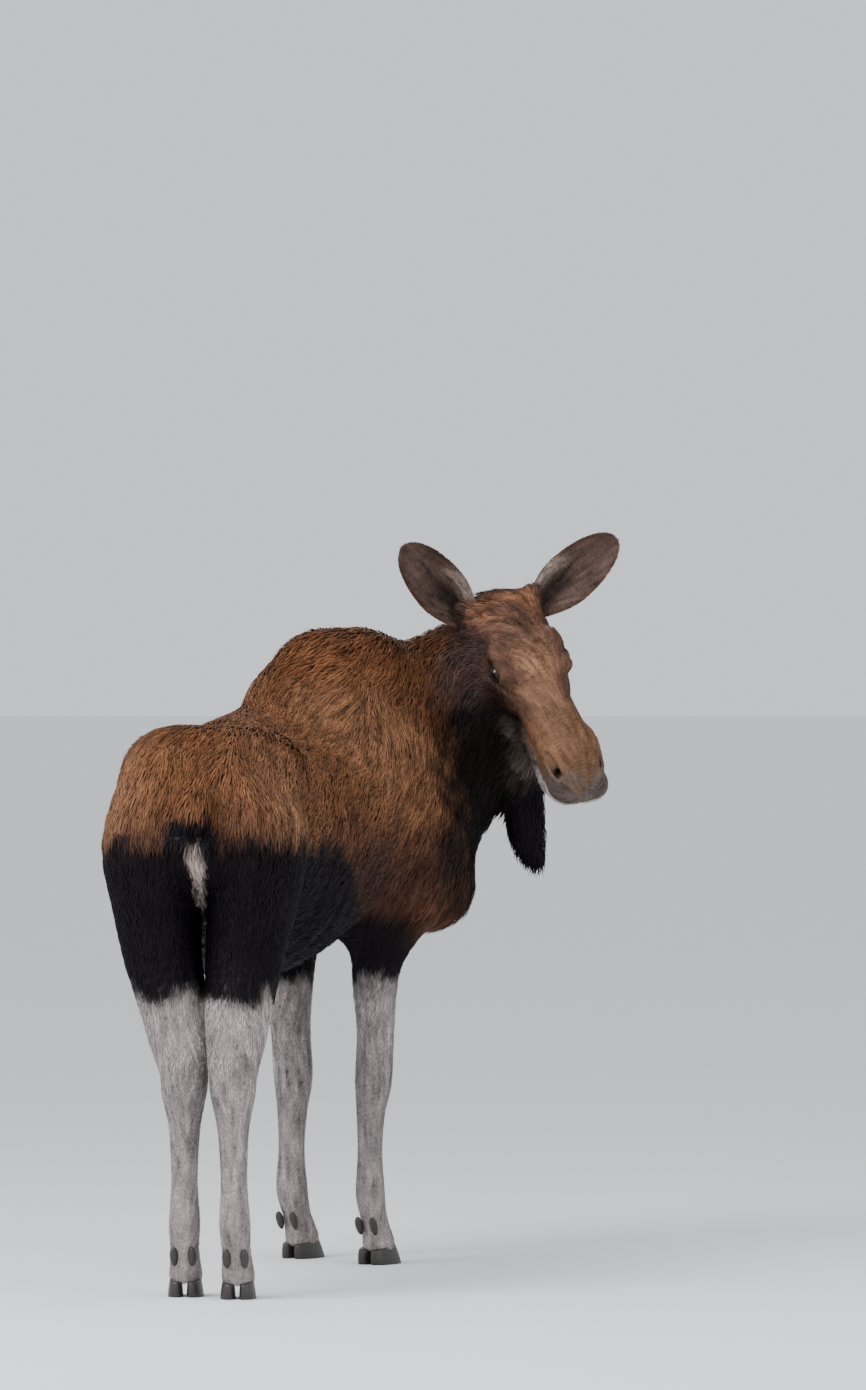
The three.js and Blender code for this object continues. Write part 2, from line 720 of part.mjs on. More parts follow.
// The part of a solid between two heights.
const between = (solid, low, high) =>
  solid.intersect(box(LEVEL, [-2 * REACH, -2 * REACH, low], [2 * REACH, 2 * REACH, high], -HALF_GAP));

// The space of a hind leg: below a slanting plane through the flank, and on its own side.
function hindLegSpace(side, grow) {
  const thigh = bodyFrame(THIGH_CUT.along, PELVIS_HEADING, THIGH_CUT.up, THIGH_CUT.lean);
  const parting = rolled(bodyFrame(THIGH_CUT.along, PELVIS_HEADING, THIGH_CUT.parting), THIGHS_ROLL);
  const [low, high] = side > 0 ? [0, REACH] : [-REACH, 0];
  return box(thigh, [-REACH, -REACH, -REACH], [REACH, THIGH_CUT.front, 0], grow).intersect(
    box(parting, [low, -REACH, -REACH], [high, REACH, REACH], grow),
  );
}

// The space of a foreleg: below a plane that rises outward from the armpit.
function foreLegSpace(side, grow) {
  const elbow = rolled(bodyFrame(BEND_END, CHEST_HEADING, ARMPIT_CUT.up), side * ARMPIT_ROLL);
  const upright = bodyFrame(BEND_END, CHEST_HEADING, 0);
  const [low, high] = side > 0 ? [ARMPIT_CUT.inner, REACH] : [-REACH, -ARMPIT_CUT.inner];
  return box(elbow, [-REACH, -REACH, -REACH], [REACH, REACH, 0], grow).intersect(
    box(upright, [low, ARMPIT_CUT.back, -REACH], [high, ARMPIT_CUT.front, REACH], grow),
  );
}

// The space of one leg, which its upper pieces are cut out of the body with.
const legSpace = ({ hind, side }, grow) => (hind ? hindLegSpace : foreLegSpace)(side, grow);

// ---------------------------------------------------------------- pieces

const solids = {};

// The boxes that the pieces are meshed in, each in the space of its field, with the size of the cells.
const GRIDS = {
  trunk: { low: [-130, -517, 700], high: [1960, 520, 1850], cell: [110, 94, 96] },
  neck: { low: [-760, -2050, 900], high: [150, -1280, 2000], cell: [82, 82, 82] },
  head: { low: [-190, -340, -190], high: [730, 110, 230], cell: [46, 42, 40] },
  bell: { low: [-720, -1900, 1060], high: [-460, -1700, 1580], cell: [31, 32, 62] },
  tail: { low: [-60, -80, 1190], high: [150, 80, 1390], cell: [24, 26, 34] },
};

// The lengths of a leg: how far each box reaches along the spine, and its cells.
const MARGIN = 160; // how far a mesh reaches past a cut, so that its own end is cut off
const LEG_TOP = 1320 + MARGIN;
const LEG_BOTTOM = -80;
const LEG_OUTSIDE = 420; // how far a leg's box reaches to its own side of the spine
const LEG_INSIDE = 90; // and past the spine
const FOOT_REACH = 170;
const THIGH = { reach: [-140, 620], cell: [78, 71, 79] };
const SHANK = { reach: [-160, 460], cell: [56, 50, 74] };
const FOREARM = { reach: [1080, 1800], cell: [66, 62, 76] };
const CANNON_CELL = [35, 35, 74];
const FOOT_CELL = [42, 42, 46];

// One toe's horn shoe: a flat sole, upright walls and a slanted top that the foot stands in. Its outline
// is drawn from the heel round; x is outward, y is ahead.
function hoofGeometry(outward) {
  const TURNS = 10;
  const SET_BACK = 0.13; // the top's, as a share of the length
  const TOP = 0.8; // the height of the top's middle, as a share of the hoof's
  const rings = [
    { size: 1, back: 0, z: () => 0 },
    { size: 0.99, back: 0.02, z: () => HOOF_HEIGHT * 0.3 },
    { size: 0.76, back: SET_BACK, z: (cosine) => HOOF_HEIGHT * (TOP + (1 - TOP) * cosine) },
  ];
  const points = [];
  for (const { size, back, z } of rings)
    for (let i = 0; i < TURNS; i++) {
      const angle = (i / TURNS) * 2 * Math.PI;
      const [sine, cosine] = [Math.sin(angle), Math.cos(angle)];
      const flat = sine * outward > 0 ? 1 : 0.72; // the side toward the other toe is flatter
      const x = (HOOF_WIDTH / 2) * size * flat * sine * (1 - 0.3 * cosine);
      const y = HOOF_LENGTH * (0.5 * size * cosine - back);
      points.push(new THREE.Vector3(x, y, z(cosine)));
    }
  const top = rings.length - 1;
  const [sole, crown] = [points.length, points.length + 1];
  points.push(new THREE.Vector3(0, 0, 0));
  points.push(new THREE.Vector3(0, -SET_BACK * HOOF_LENGTH, TOP * HOOF_HEIGHT));
  const faces = [];
  for (let i = 0; i < TURNS; i++) {
    const j = (i + 1) % TURNS;
    faces.push(sole, i, j, crown, top * TURNS + j, top * TURNS + i);
    for (let r = 0; r < top; r++) {
      const [a, b] = [r * TURNS, (r + 1) * TURNS];
      faces.push(a + i, b + i, a + j, a + j, b + i, b + j);
    }
  }
  const geometry = new THREE.BufferGeometry().setFromPoints(points);
  geometry.setIndex(faces);
  return geometry;
}

// The four pieces of horn of one foot: two hooves on the ground and two dewclaws behind them.
function horn(name, { hind, side, foot, hock, stance }) {
  const right = side * (hind ? HIND_OUT + hock : stance);
  const heading = hind ? PELVIS_HEADING : CHEST_HEADING;
  const turn = new THREE.Matrix4().makeBasis(rightOf(heading), ahead(heading), UP);
  const put = (geometry, { x, y }, up) => solidOf(geometry.applyMatrix4(turn).translate(x, y, up));
  for (const [toe, outward] of Object.entries({ outer: 1, inner: -1 })) {
    const lateral = side * outward;
    const hoof = hoofGeometry(lateral).rotateZ(-lateral * SPLAY);
    const under = bodyPoint([foot + HOOF_AHEAD, right + lateral * (HOOF_WIDTH / 2 + 1), 0]);
    solids[`hoof_${name}_${toe}`] = put(hoof, under, 0);
    const claw = new THREE.SphereGeometry(1, 7, 5).scale(...DEWCLAW_SIZE).rotateX(DEWCLAW_LEAN);
    const { behind, out, up } = DEWCLAW_PLACE;
    solids[`dewclaw_${name}_${toe}`] = put(claw, bodyPoint([foot - behind, right + lateral * out, 0]), up);
  }
}

// One leg, from the cut in the flank or the armpit down to the hooves.
function leg(name, stance) {
  const { hind, side, foot } = stance;
  const own = union(legSweeps(stance));
  const near = union([...TORSO, ...legSweeps(stance)]);
  const withNeck = (q) => smoothMin(near(q), neckField(bodyPoint(q).toArray()), NECK_BLEND);
  const space = legSpace(stance, -HALF_GAP);
  const [left, right] = side > 0 ? [-LEG_INSIDE, LEG_OUTSIDE] : [-LEG_OUTSIDE, LEG_INSIDE];
  const length = (field, { reach: [back, front], cell }, low, high) =>
    meshField(field, { low: [back, left, low], high: [front, right, high], cell }, bodyPoint);
  const joint = hind ? HOCK_HEIGHT : WRIST_HEIGHT;
  if (hind) {
    const thigh = length(near, THIGH, KNEE_HEIGHT - MARGIN, LEG_TOP);
    solids[`thigh_${name}`] = between(thigh.intersect(space), KNEE_HEIGHT, REACH);
    const shank = length(own, SHANK, joint - MARGIN, KNEE_HEIGHT + MARGIN);
    solids[`shank_${name}`] = between(shank.intersect(space), joint, KNEE_HEIGHT);
  } else {
    const forearm = length(withNeck, FOREARM, joint - MARGIN, LEG_TOP);
    const behindNeck = forearm.intersect(space).subtract(neckSpace(HALF_GAP));
    solids[`forearm_${name}`] = between(behindNeck, joint, REACH);
  }
  const reach = [foot - FOOT_REACH, foot + FOOT_REACH];
  const cannon = length(own, { reach, cell: CANNON_CELL }, FETLOCK_HEIGHT - MARGIN, joint + MARGIN);
  solids[`cannon_${name}`] = between(cannon, FETLOCK_HEIGHT, joint);
  horn(name, stance);
  const horns = ["hoof", "dewclaw"].flatMap((kind) =>
    ["outer", "inner"].map((toe) => swollen(solids[`${kind}_${name}_${toe}`], GAP)),
  );
  const toes = length(own, { reach, cell: FOOT_CELL }, LEG_BOTTOM, FETLOCK_HEIGHT + MARGIN);
  solids[`foot_${name}`] = horns.reduce((flesh, h) => flesh.subtract(h), between(toes, 0, FETLOCK_HEIGHT));
}

function trunk() {
  const field = (q) => wholeField(bodyPoint(q).toArray());
  let flesh = meshField(field, GRIDS.trunk, bodyPoint);
  for (const stance of Object.values(LEGS)) flesh = flesh.subtract(legSpace(stance, HALF_GAP));
  flesh = flesh.subtract(neckSpace(HALF_GAP));
  // The plane square to the spine at a distance along it.
  const plane = (along) => {
    const turn = Math.min(Math.max((along - BEND_START) / BEND_RADIUS, 0), CHEST_HEADING - PELVIS_HEADING);
    return bodyFrame(along, PELVIS_HEADING + turn, 0);
  };
  const behind = (solid, along) => solid.subtract(aheadOf(plane(along), 1, HALF_GAP));
  const before = (solid, along) => solid.intersect(aheadOf(plane(along), 1, -HALF_GAP));
  solids.rump = behind(flesh, RUMP_END);
  solids.barrel = behind(before(flesh, RUMP_END), BARREL_END);
  solids.chest = before(flesh, BARREL_END);
}

function neckPieces() {
  const flesh = meshField(wholeField, GRIDS.neck, (q) => new THREE.Vector3(...q))
    .intersect(neckSpace(-HALF_GAP))
    .subtract(headSpace(HALF_GAP));
  solids.neck_base = flesh.subtract(aheadOf(NECK_MIDDLE, 1, HALF_GAP));
  solids.neck_top = flesh.intersect(aheadOf(NECK_MIDDLE, 1, -HALF_GAP));
}

// The ear's half width as a share of its largest, from the base (0) to the tip (1).
const earWidth = (t) =>
  t < EAR_WIDEST
    ? mix(0.5, 1, Math.sin(((t / EAR_WIDEST) * Math.PI) / 2))
    : Math.sqrt(Math.max(1 - ((t - EAR_WIDEST) / (1 - EAR_WIDEST)) ** 2, 0));

// One ear: a leaf-shaped shell, cupped toward "opening" and widest below its middle.
function earSolid({ base, axis, opening }) {
  const RINGS = 7;
  const SIDE_POINTS = 4;
  const BLUNT = 0.985; // where the last ring is, so that the tip has a width
  const along = headDirection(axis).normalize();
  const across = new THREE.Vector3().crossVectors(headDirection(opening), along).normalize();
  const front = new THREE.Vector3().crossVectors(along, across);
  const points = [];
  for (let i = 0; i <= RINGS; i++) {
    const t = (i / RINGS) * BLUNT;
    const wide = EAR_HALF_WIDTH * earWidth(t);
    const cup = wide * mix(0.95, 0.3, Math.min(t * 1.6, 1));
    const middle = headPoint(base)
      .addScaledVector(along, EAR_LENGTH * t)
      .addScaledVector(front, -EAR_BOW * t * (1 - t));
    const ring = (offset, turn) => {
      for (let k = 0; k <= SIDE_POINTS; k++) {
        const x = (turn * (2 * k - SIDE_POINTS)) / SIDE_POINTS;
        const bowl = cup * (x * x - 1);
        const thick = offset * (1 - 0.7 * x * x);
        points.push(middle.clone().addScaledVector(across, wide * x).addScaledVector(front, bowl + thick));
      }
    };
    ring(-EAR_THICKNESS / 2, 1);
    ring(EAR_THICKNESS / 2, -1);
  }
  const count = 2 * (SIDE_POINTS + 1);
  const faces = [];
  for (let i = 0; i < RINGS; i++)
    for (let k = 0; k < count; k++) {
      const [a, b] = [i * count + k, i * count + ((k + 1) % count)];
      faces.push(a, b, b + count, a, b + count, a + count);
    }
  const close = (start, turned) => {
    for (let k = 0; k < SIDE_POINTS; k++) {
      const [a, b, c, d] = [k, k + 1, count - 2 - k, count - 1 - k].map((n) => start + n);
      faces.push(...(turned ? [a, b, c, a, c, d] : [c, b, a, d, c, a]));
    }
  };
  close(0, false);
  close(RINGS * count, true);
  return solidFrom(points, faces);
}

function head() {
  const [nose, up, right] = EYE_PLACE;
  for (const [name, side] of Object.entries({ right: 1, left: -1 })) {
    const { x, y, z } = headPoint([nose, up, right * side]);
    solids[`eye_${name}`] = solidOf(new THREE.SphereGeometry(EYE_RADIUS, 10, 7).translate(x, y, z));
  }
  const flesh = meshField((q) => wholeField(headPoint(q).toArray()), GRIDS.head, headPoint)
    .intersect(headSpace(-HALF_GAP))
    .subtract(swollen(solids.eye_right, GAP))
    .subtract(swollen(solids.eye_left, GAP));
  const jawSpace = (grow) => box(JAW_FRAME, [JAW_START, -REACH, -REACH], [REACH, 0, REACH], grow);
  const muzzleSpace = (grow) => box(HEAD_FRAME, [MUZZLE_START, -REACH, -REACH], [REACH, REACH, REACH], grow);
  const upper = flesh.subtract(jawSpace(HALF_GAP));
  solids.lower_jaw = flesh.intersect(jawSpace(-HALF_GAP));
  solids.muzzle = upper.intersect(muzzleSpace(-HALF_GAP));
  solids.skull = upper.subtract(muzzleSpace(HALF_GAP));
  const fleshRoom = swollen(mainBody(flesh), GAP);
  for (const [name, ear] of Object.entries(EARS)) solids[`ear_${name}`] = earSolid(ear).subtract(fleshRoom);
}

// The bell under the throat and the tail, fitted against the pieces that they hang from.
function hangings() {
  const flap = meshField(union(bell()), GRIDS.bell, (q) => new THREE.Vector3(...q));
  const around = ["lower_jaw", "skull", "neck_top", "neck_base"];
  const room = around.map((name) => swollen(mainBody(solids[name]), GAP));
  solids.bell = mainBody(room.reduce((rest, taken) => rest.subtract(taken), flap));
  for (const name of around) solids[name] = solids[name].subtract(swollen(solids.bell, HALF_GAP));
  const brush = meshField(union(tail()), GRIDS.tail, bodyPoint);
  solids.tail = brush.subtract(swollen(mainBody(solids.rump), GAP));
}

trunk();
for (const [name, stance] of Object.entries(LEGS)) leg(name, stance);
neckPieces();
head();
hangings();

// ---------------------------------------------------------------- the model

const finish = (color, roughness) => new THREE.MeshStandardMaterial({ color, roughness, metalness: 0 });
const FINISHES = {
  brown: [0x6a4a38, 0.9],
  dark: [0x1f1716, 0.9],
  grey: [0x8d8690, 0.9],
  horn: [0x1c1917, 0.5],
  eye: [0x140c08, 0.12],
};
const finishOf = (name) => {
  if (/^(hoof|dewclaw)/.test(name)) return "horn";
  if (/^eye/.test(name)) return "eye";
  if (/^(cannon|foot|shank)/.test(name)) return "grey";
  if (/^(thigh|forearm|bell|tail)/.test(name)) return "dark";
  return "brown";
};

const moose = new THREE.Group();
for (const [name, solid] of Object.entries(solids)) {
  const mesh = new THREE.Mesh(geometryOf(mainBody(solid)), finish(...FINISHES[finishOf(name)]));
  mesh.name = name;
  moose.add(mesh);
}

// The origin goes to the ground under the middle of the box.
const reach = new THREE.Box3().setFromObject(moose);
const middle = reach.getCenter(new THREE.Vector3());
moose.position.set(-middle.x, -middle.y, -reach.min.z);

export default moose;
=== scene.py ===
"""A cow moose at life size, standing still and looking back over her right shoulder.

The skin is one closed surface of blended sweeps, the coat is solid tufts that follow the lie of the
hair, and the eyes and the horn of the feet are pieces of their own. Lengths are in metres, except in
the tables of stations, which are in millimetres.
"""

from __future__ import annotations

import itertools
import logging
import math
from concurrent.futures import ThreadPoolExecutor
from dataclasses import dataclass, field
from enum import Enum
from typing import Callable, Sequence

import bpy
import numpy as np
from mathutils import Matrix, Vector

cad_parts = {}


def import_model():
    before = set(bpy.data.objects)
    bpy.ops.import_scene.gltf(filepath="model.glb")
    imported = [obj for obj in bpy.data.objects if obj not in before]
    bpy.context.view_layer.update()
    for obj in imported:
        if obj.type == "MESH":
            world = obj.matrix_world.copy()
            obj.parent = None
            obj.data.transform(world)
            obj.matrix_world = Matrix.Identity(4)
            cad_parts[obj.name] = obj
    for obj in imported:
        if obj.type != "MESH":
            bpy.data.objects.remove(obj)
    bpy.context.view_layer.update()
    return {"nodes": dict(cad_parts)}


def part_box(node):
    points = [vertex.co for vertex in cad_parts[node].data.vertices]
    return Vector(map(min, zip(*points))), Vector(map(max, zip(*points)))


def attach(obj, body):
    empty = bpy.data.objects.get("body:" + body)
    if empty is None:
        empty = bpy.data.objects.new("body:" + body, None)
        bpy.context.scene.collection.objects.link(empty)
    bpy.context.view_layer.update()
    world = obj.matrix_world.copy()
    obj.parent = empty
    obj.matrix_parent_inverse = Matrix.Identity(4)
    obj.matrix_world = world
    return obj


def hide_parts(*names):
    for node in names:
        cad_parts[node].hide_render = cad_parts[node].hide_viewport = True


LOG = logging.getLogger("moose")
MM = 0.001
Array = np.ndarray


# ------------------------------------------------------------------ small helpers


def unit(v: Array) -> Array:
    """Vectors of length one.

    Args:
        v: One vector, or an array with a vector in each row.

    Returns:
        The same, scaled to length one.
    """
    return v / np.maximum(np.linalg.norm(v, axis=-1, keepdims=True), 1e-12)


def smooth(x: Array, low: float, high: float) -> Array:
    """A soft step.

    Args:
        x: The values.
        low: Where the step starts, at 0.
        high: Where it ends, at 1. It may be less than low.

    Returns:
        A number from 0 to 1 for each value.
    """
    t = np.clip((np.asarray(x, float) - low) / (high - low), 0.0, 1.0)
    return t * t * (3 - 2 * t)


def mix(a: Array, b: Array, t: Array) -> Array:
    """Goes from a at 0 to b at 1, row by row where a and b are rows.

    Args:
        a: The start, one row or many.
        b: The end, one row or many.
        t: How far, one number for each row.

    Returns:
        The mixed rows.
    """
    a, b, t = np.asarray(a, float), np.asarray(b, float), np.asarray(t, float)
    if max(a.ndim, b.ndim) > t.ndim or a.shape[-1:] == (3,) and t.ndim and t.shape[-1] != 3:
        t = t[..., None]
    return a + (b - a) * t


def table(x: Array, *pairs: tuple[float, float]) -> Array:
    """A value that is given at some places and runs straight between them.

    Args:
        x: Where to read it.
        pairs: Place and value, with the places rising.

    Returns:
        The value at each x.
    """
    at, value = zip(*pairs)
    return np.interp(x, at, value)


def swell(x: Array, middle: float, width: float) -> Array:
    """A soft swelling.

    Args:
        x: The values.
        middle: Where it is 1.
        width: How far from the middle it has sunk to about a third.

    Returns:
        A number from 0 to 1 for each value.
    """
    return np.exp(-(((x - middle) / width) ** 2))


class Noise:
    """Soft random values in space, the same on each run."""

    SIDE = 32

    def __init__(self, seed: int) -> None:
        """Fills the lattice.

        Args:
            seed: Which noise this is.
        """
        self.values = np.random.default_rng(seed).uniform(-1, 1, (self.SIDE,) * 3)

    def __call__(self, p: Array, size: float) -> Array:
        """Reads the noise.

        Args:
            p: Points, one to a row.
            size: The width of its blobs.

        Returns:
            A number from -1 to 1 for each point.
        """
        q = p / size
        cell = np.floor(q).astype(int)
        t = q - cell
        t = t * t * (3 - 2 * t)
        total = np.zeros(len(p))
        for corner in range(8):
            step = np.array([(corner >> k) & 1 for k in range(3)])
            share = np.prod(np.where(step, t, 1 - t), axis=1)
            at = (cell + step) % self.SIDE
            total += share * self.values[at[:, 0], at[:, 1], at[:, 2]]
        return total


# ------------------------------------------------------------------ spaces


@dataclass(frozen=True)
class Posture:
    """How the spine is bent and where the head is held. The head end is toward -Y, her right toward -X."""

    pelvis_heading: float = math.radians(-5.7)
    chest_heading: float = math.radians(26.3)
    bend_start: float = 0.600
    bend_end: float = 1.500
    poll: tuple[float, float, float] = (-0.520, -1.678, 1.847)
    head_yaw: float = math.radians(129)
    head_pitch: float = math.radians(52.5)
    head_roll: float = math.radians(22.5)

    @staticmethod
    def ahead(heading: Array | float) -> Array:
        """The level unit vectors along some headings."""
        heading = np.asarray(heading, float)
        return np.stack([-np.sin(heading), -np.cos(heading), 0 * heading], axis=-1)

    @staticmethod
    def rightward(heading: Array | float) -> Array:
        """The level unit vectors to the right of some headings."""
        heading = np.asarray(heading, float)
        return np.stack([-np.cos(heading), np.sin(heading), 0 * heading], axis=-1)

    @property
    def bend_radius(self) -> float:
        """The radius of the bend of the spine."""
        return (self.bend_end - self.bend_start) / (self.chest_heading - self.pelvis_heading)

    @property
    def bend_centre(self) -> Array:
        """The middle of the circle that the bent spine follows."""
        start = self.ahead(self.pelvis_heading) * self.bend_start
        return start + self.rightward(self.pelvis_heading) * self.bend_radius

    def heading(self, along: Array) -> Array:
        """The heading of the spine at some distances along it."""
        turn = self.chest_heading - self.pelvis_heading
        return self.pelvis_heading + np.clip((along - self.bend_start) / self.bend_radius, 0, turn)

    def body_point(self, q: Array) -> Array:
        """Carries points of body space into the model.

        Args:
            q: Rows of the distance along the spine, to the right of it, and the height.

        Returns:
            The points in the model.
        """
        along, right, up = q[:, 0], q[:, 1], q[:, 2]
        heading = self.heading(along)
        past = np.maximum(along - self.bend_end, 0)
        straight = np.where(along < self.bend_start, along - self.bend_start, past)
        side = self.rightward(heading)
        p = self.bend_centre + side * (right - self.bend_radius)[:, None]
        p = p + self.ahead(heading) * straight[:, None]
        p[:, 2] = up
        return p

    def into_body(self, p: Array) -> Array:
        """Carries points of the model into body space.

        Args:
            p: Points in the model.

        Returns:
            Rows of the distance along the spine, to the right of it, and the height.
        """
        flat = p * [1, 1, 0]
        spoke = flat - self.bend_centre
        first, last = self.ahead(self.pelvis_heading), self.ahead(self.chest_heading)
        sideways = self.rightward(self.pelvis_heading)
        turn = np.arctan2(spoke @ first, -(spoke @ sideways))
        along = self.bend_start + turn * self.bend_radius
        right = self.bend_radius - np.linalg.norm(spoke, axis=1)
        before, past = spoke @ first, spoke @ last
        along = np.where(before < 0, self.bend_start + before, along)
        right = np.where(before < 0, spoke @ sideways + self.bend_radius, right)
        beyond = (before >= 0) & (past > 0)
        along = np.where(beyond, self.bend_end + past, along)
        right = np.where(beyond, spoke @ self.rightward(self.chest_heading) + self.bend_radius, right)
        return np.stack([along, right, p[:, 2]], axis=1)

    @property
    def head_axes(self) -> Array:
        """The head's own directions as rows: noseward, up out of the crown, and to her right."""
        ahead, right = self.ahead(self.head_yaw), self.rightward(self.head_yaw)
        up = np.array([0.0, 0.0, 1.0])
        nose = ahead * math.cos(self.head_pitch) - up * math.sin(self.head_pitch)
        level = ahead * math.sin(self.head_pitch) + up * math.cos(self.head_pitch)
        cheek = right * math.cos(self.head_roll) - level * math.sin(self.head_roll)
        crown = level * math.cos(self.head_roll) + right * math.sin(self.head_roll)
        return np.stack([nose, crown, cheek])

    def head_point(self, q: Array) -> Array:
        """Carries points of head space into the model."""
        return np.asarray(q, float) @ self.head_axes + np.array(self.poll)

    def into_head(self, p: Array) -> Array:
        """Carries points of the model into head space."""
        return (p - np.array(self.poll)) @ self.head_axes.T


POSTURE = Posture()


# ------------------------------------------------------------------ sweeps

Station = tuple[float, float, float, float, float, float]


def soft_min(a: Array, b: Array, blend: float) -> Array:
    """The lesser of two distances, rounded where they meet.

    Args:
        a: Distances.
        b: Distances.
        blend: How near each other they have to be to be rounded.

    Returns:
        The blended distances.
    """
    h = np.maximum(blend - np.abs(a - b), 0) / blend
    return np.minimum(a, b) - h * h * blend / 4


def carved(solid: Array, hollow: Array, blend: float) -> Array:
    """The distance from a solid that has a hollow cut out of it, with a rounded edge.

    Args:
        solid: Distances from the solid.
        hollow: Distances from the hollow.
        blend: How near each other they have to be to be rounded.

    Returns:
        The distances from what is left.
    """
    return -soft_min(-solid, hollow, blend)


class Sweep:
    """A solid swept through oval stations."""

    SUBDIVISIONS = 4

    def __init__(
        self,
        stations: Sequence[Station],
        dorsal: tuple[float, float, float] = (0, 0, 1),
        blend: float = 60,
    ) -> None:
        """Lays out the straight lengths between the stations.

        Args:
            stations: Middle, half width, and reach up and down of each, in millimetres.
            dorsal: The direction that counts as up.
            blend: How softly it joins what came before it, in millimetres.
        """
        self.blend = blend * MM
        rows = self.curve(np.array(stations, float) * MM)
        self.lengths = []
        for a, b in zip(rows[:-1], rows[1:]):
            along = b[:3] - a[:3]
            direction = unit(along)
            side = unit(np.cross(direction, dorsal))
            up = np.cross(side, direction)
            self.lengths.append((a, b, direction, side, up, float(np.linalg.norm(along))))
        reach = rows[:, 3:].max(axis=1, keepdims=True)
        self.low = (rows[:, :3] - reach).min(axis=0)
        self.high = (rows[:, :3] + reach).max(axis=0)

    def curve(self, rows: Array) -> Array:
        """Stations on a smooth curve through the given ones."""
        last, made = len(rows) - 1, []
        for i in range(last):
            a, b, c, d = (rows[min(max(k, 0), last)] for k in (i - 1, i, i + 1, i + 2))
            for k in range(self.SUBDIVISIONS):
                t = k / self.SUBDIVISIONS
                cubic = (3 * b - a - 3 * c + d) * t**3
                made.append(0.5 * (2 * b + (c - a) * t + (2 * a - 5 * b + 4 * c - d) * t * t + cubic))
        return np.array([*made, rows[last]])

    def at_least(self, p: Array) -> Array:
        """How far the points are from the sweep's own box."""
        out = np.maximum(np.maximum(self.low - p, p - self.high), 0)
        return np.sqrt((out * out).sum(axis=1))

    def distance(self, p: Array) -> Array:
        """The distance from the sweep's surface, negative inside.

        Args:
            p: Points of the space that the sweep is in.

        Returns:
            The distances, which are true near the surface.
        """
        best = np.full(len(p), np.inf)
        for a, b, direction, side, up, length in self.lengths:
            d = p - a[:3]
            along = d @ direction
            t = np.clip(along / length, 0, 1)
            x, y = d @ side, d @ up
            wide = a[3] + (b[3] - a[3]) * t
            above, below = a[4] + (b[4] - a[4]) * t, a[5] + (b[5] - a[5]) * t
            tall = np.where(y > 0, above, below)
            cap = np.minimum(wide, tall)
            x, y, z = x / wide, y / tall, (along - t * length) / cap
            level = np.sqrt(x * x + y * y + z * z)
            slope = np.sqrt((x / wide) ** 2 + (y / tall) ** 2 + (z / cap) ** 2)
            best = np.minimum(best, (level - 1) * level / np.maximum(slope, 1e-9))
        return best


FAR = 9.0


def blended(sweeps: Sequence[Sweep], p: Array) -> Array:
    """The distance from the blended union of some sweeps.

    Args:
        sweeps: The sweeps, in the order in which they are joined.
        p: Points of the space that they are in.

    Returns:
        The distances.
    """
    d = np.full(len(p), FAR)
    for sweep in sweeps:
        near = np.flatnonzero(sweep.at_least(p) < d + sweep.blend)
        if len(near):
            d[near] = soft_min(d[near], sweep.distance(p[near]), sweep.blend)
    return d


# ------------------------------------------------------------------ flesh


class Part(Enum):
    """The parts of the body that the coat tells apart."""

    TRUNK = 0
    NECK = 1
    HEAD = 2
    BELL = 3
    TAIL = 4
    HIND_RIGHT = 5
    HIND_LEFT = 6
    FORE_RIGHT = 7
    FORE_LEFT = 8


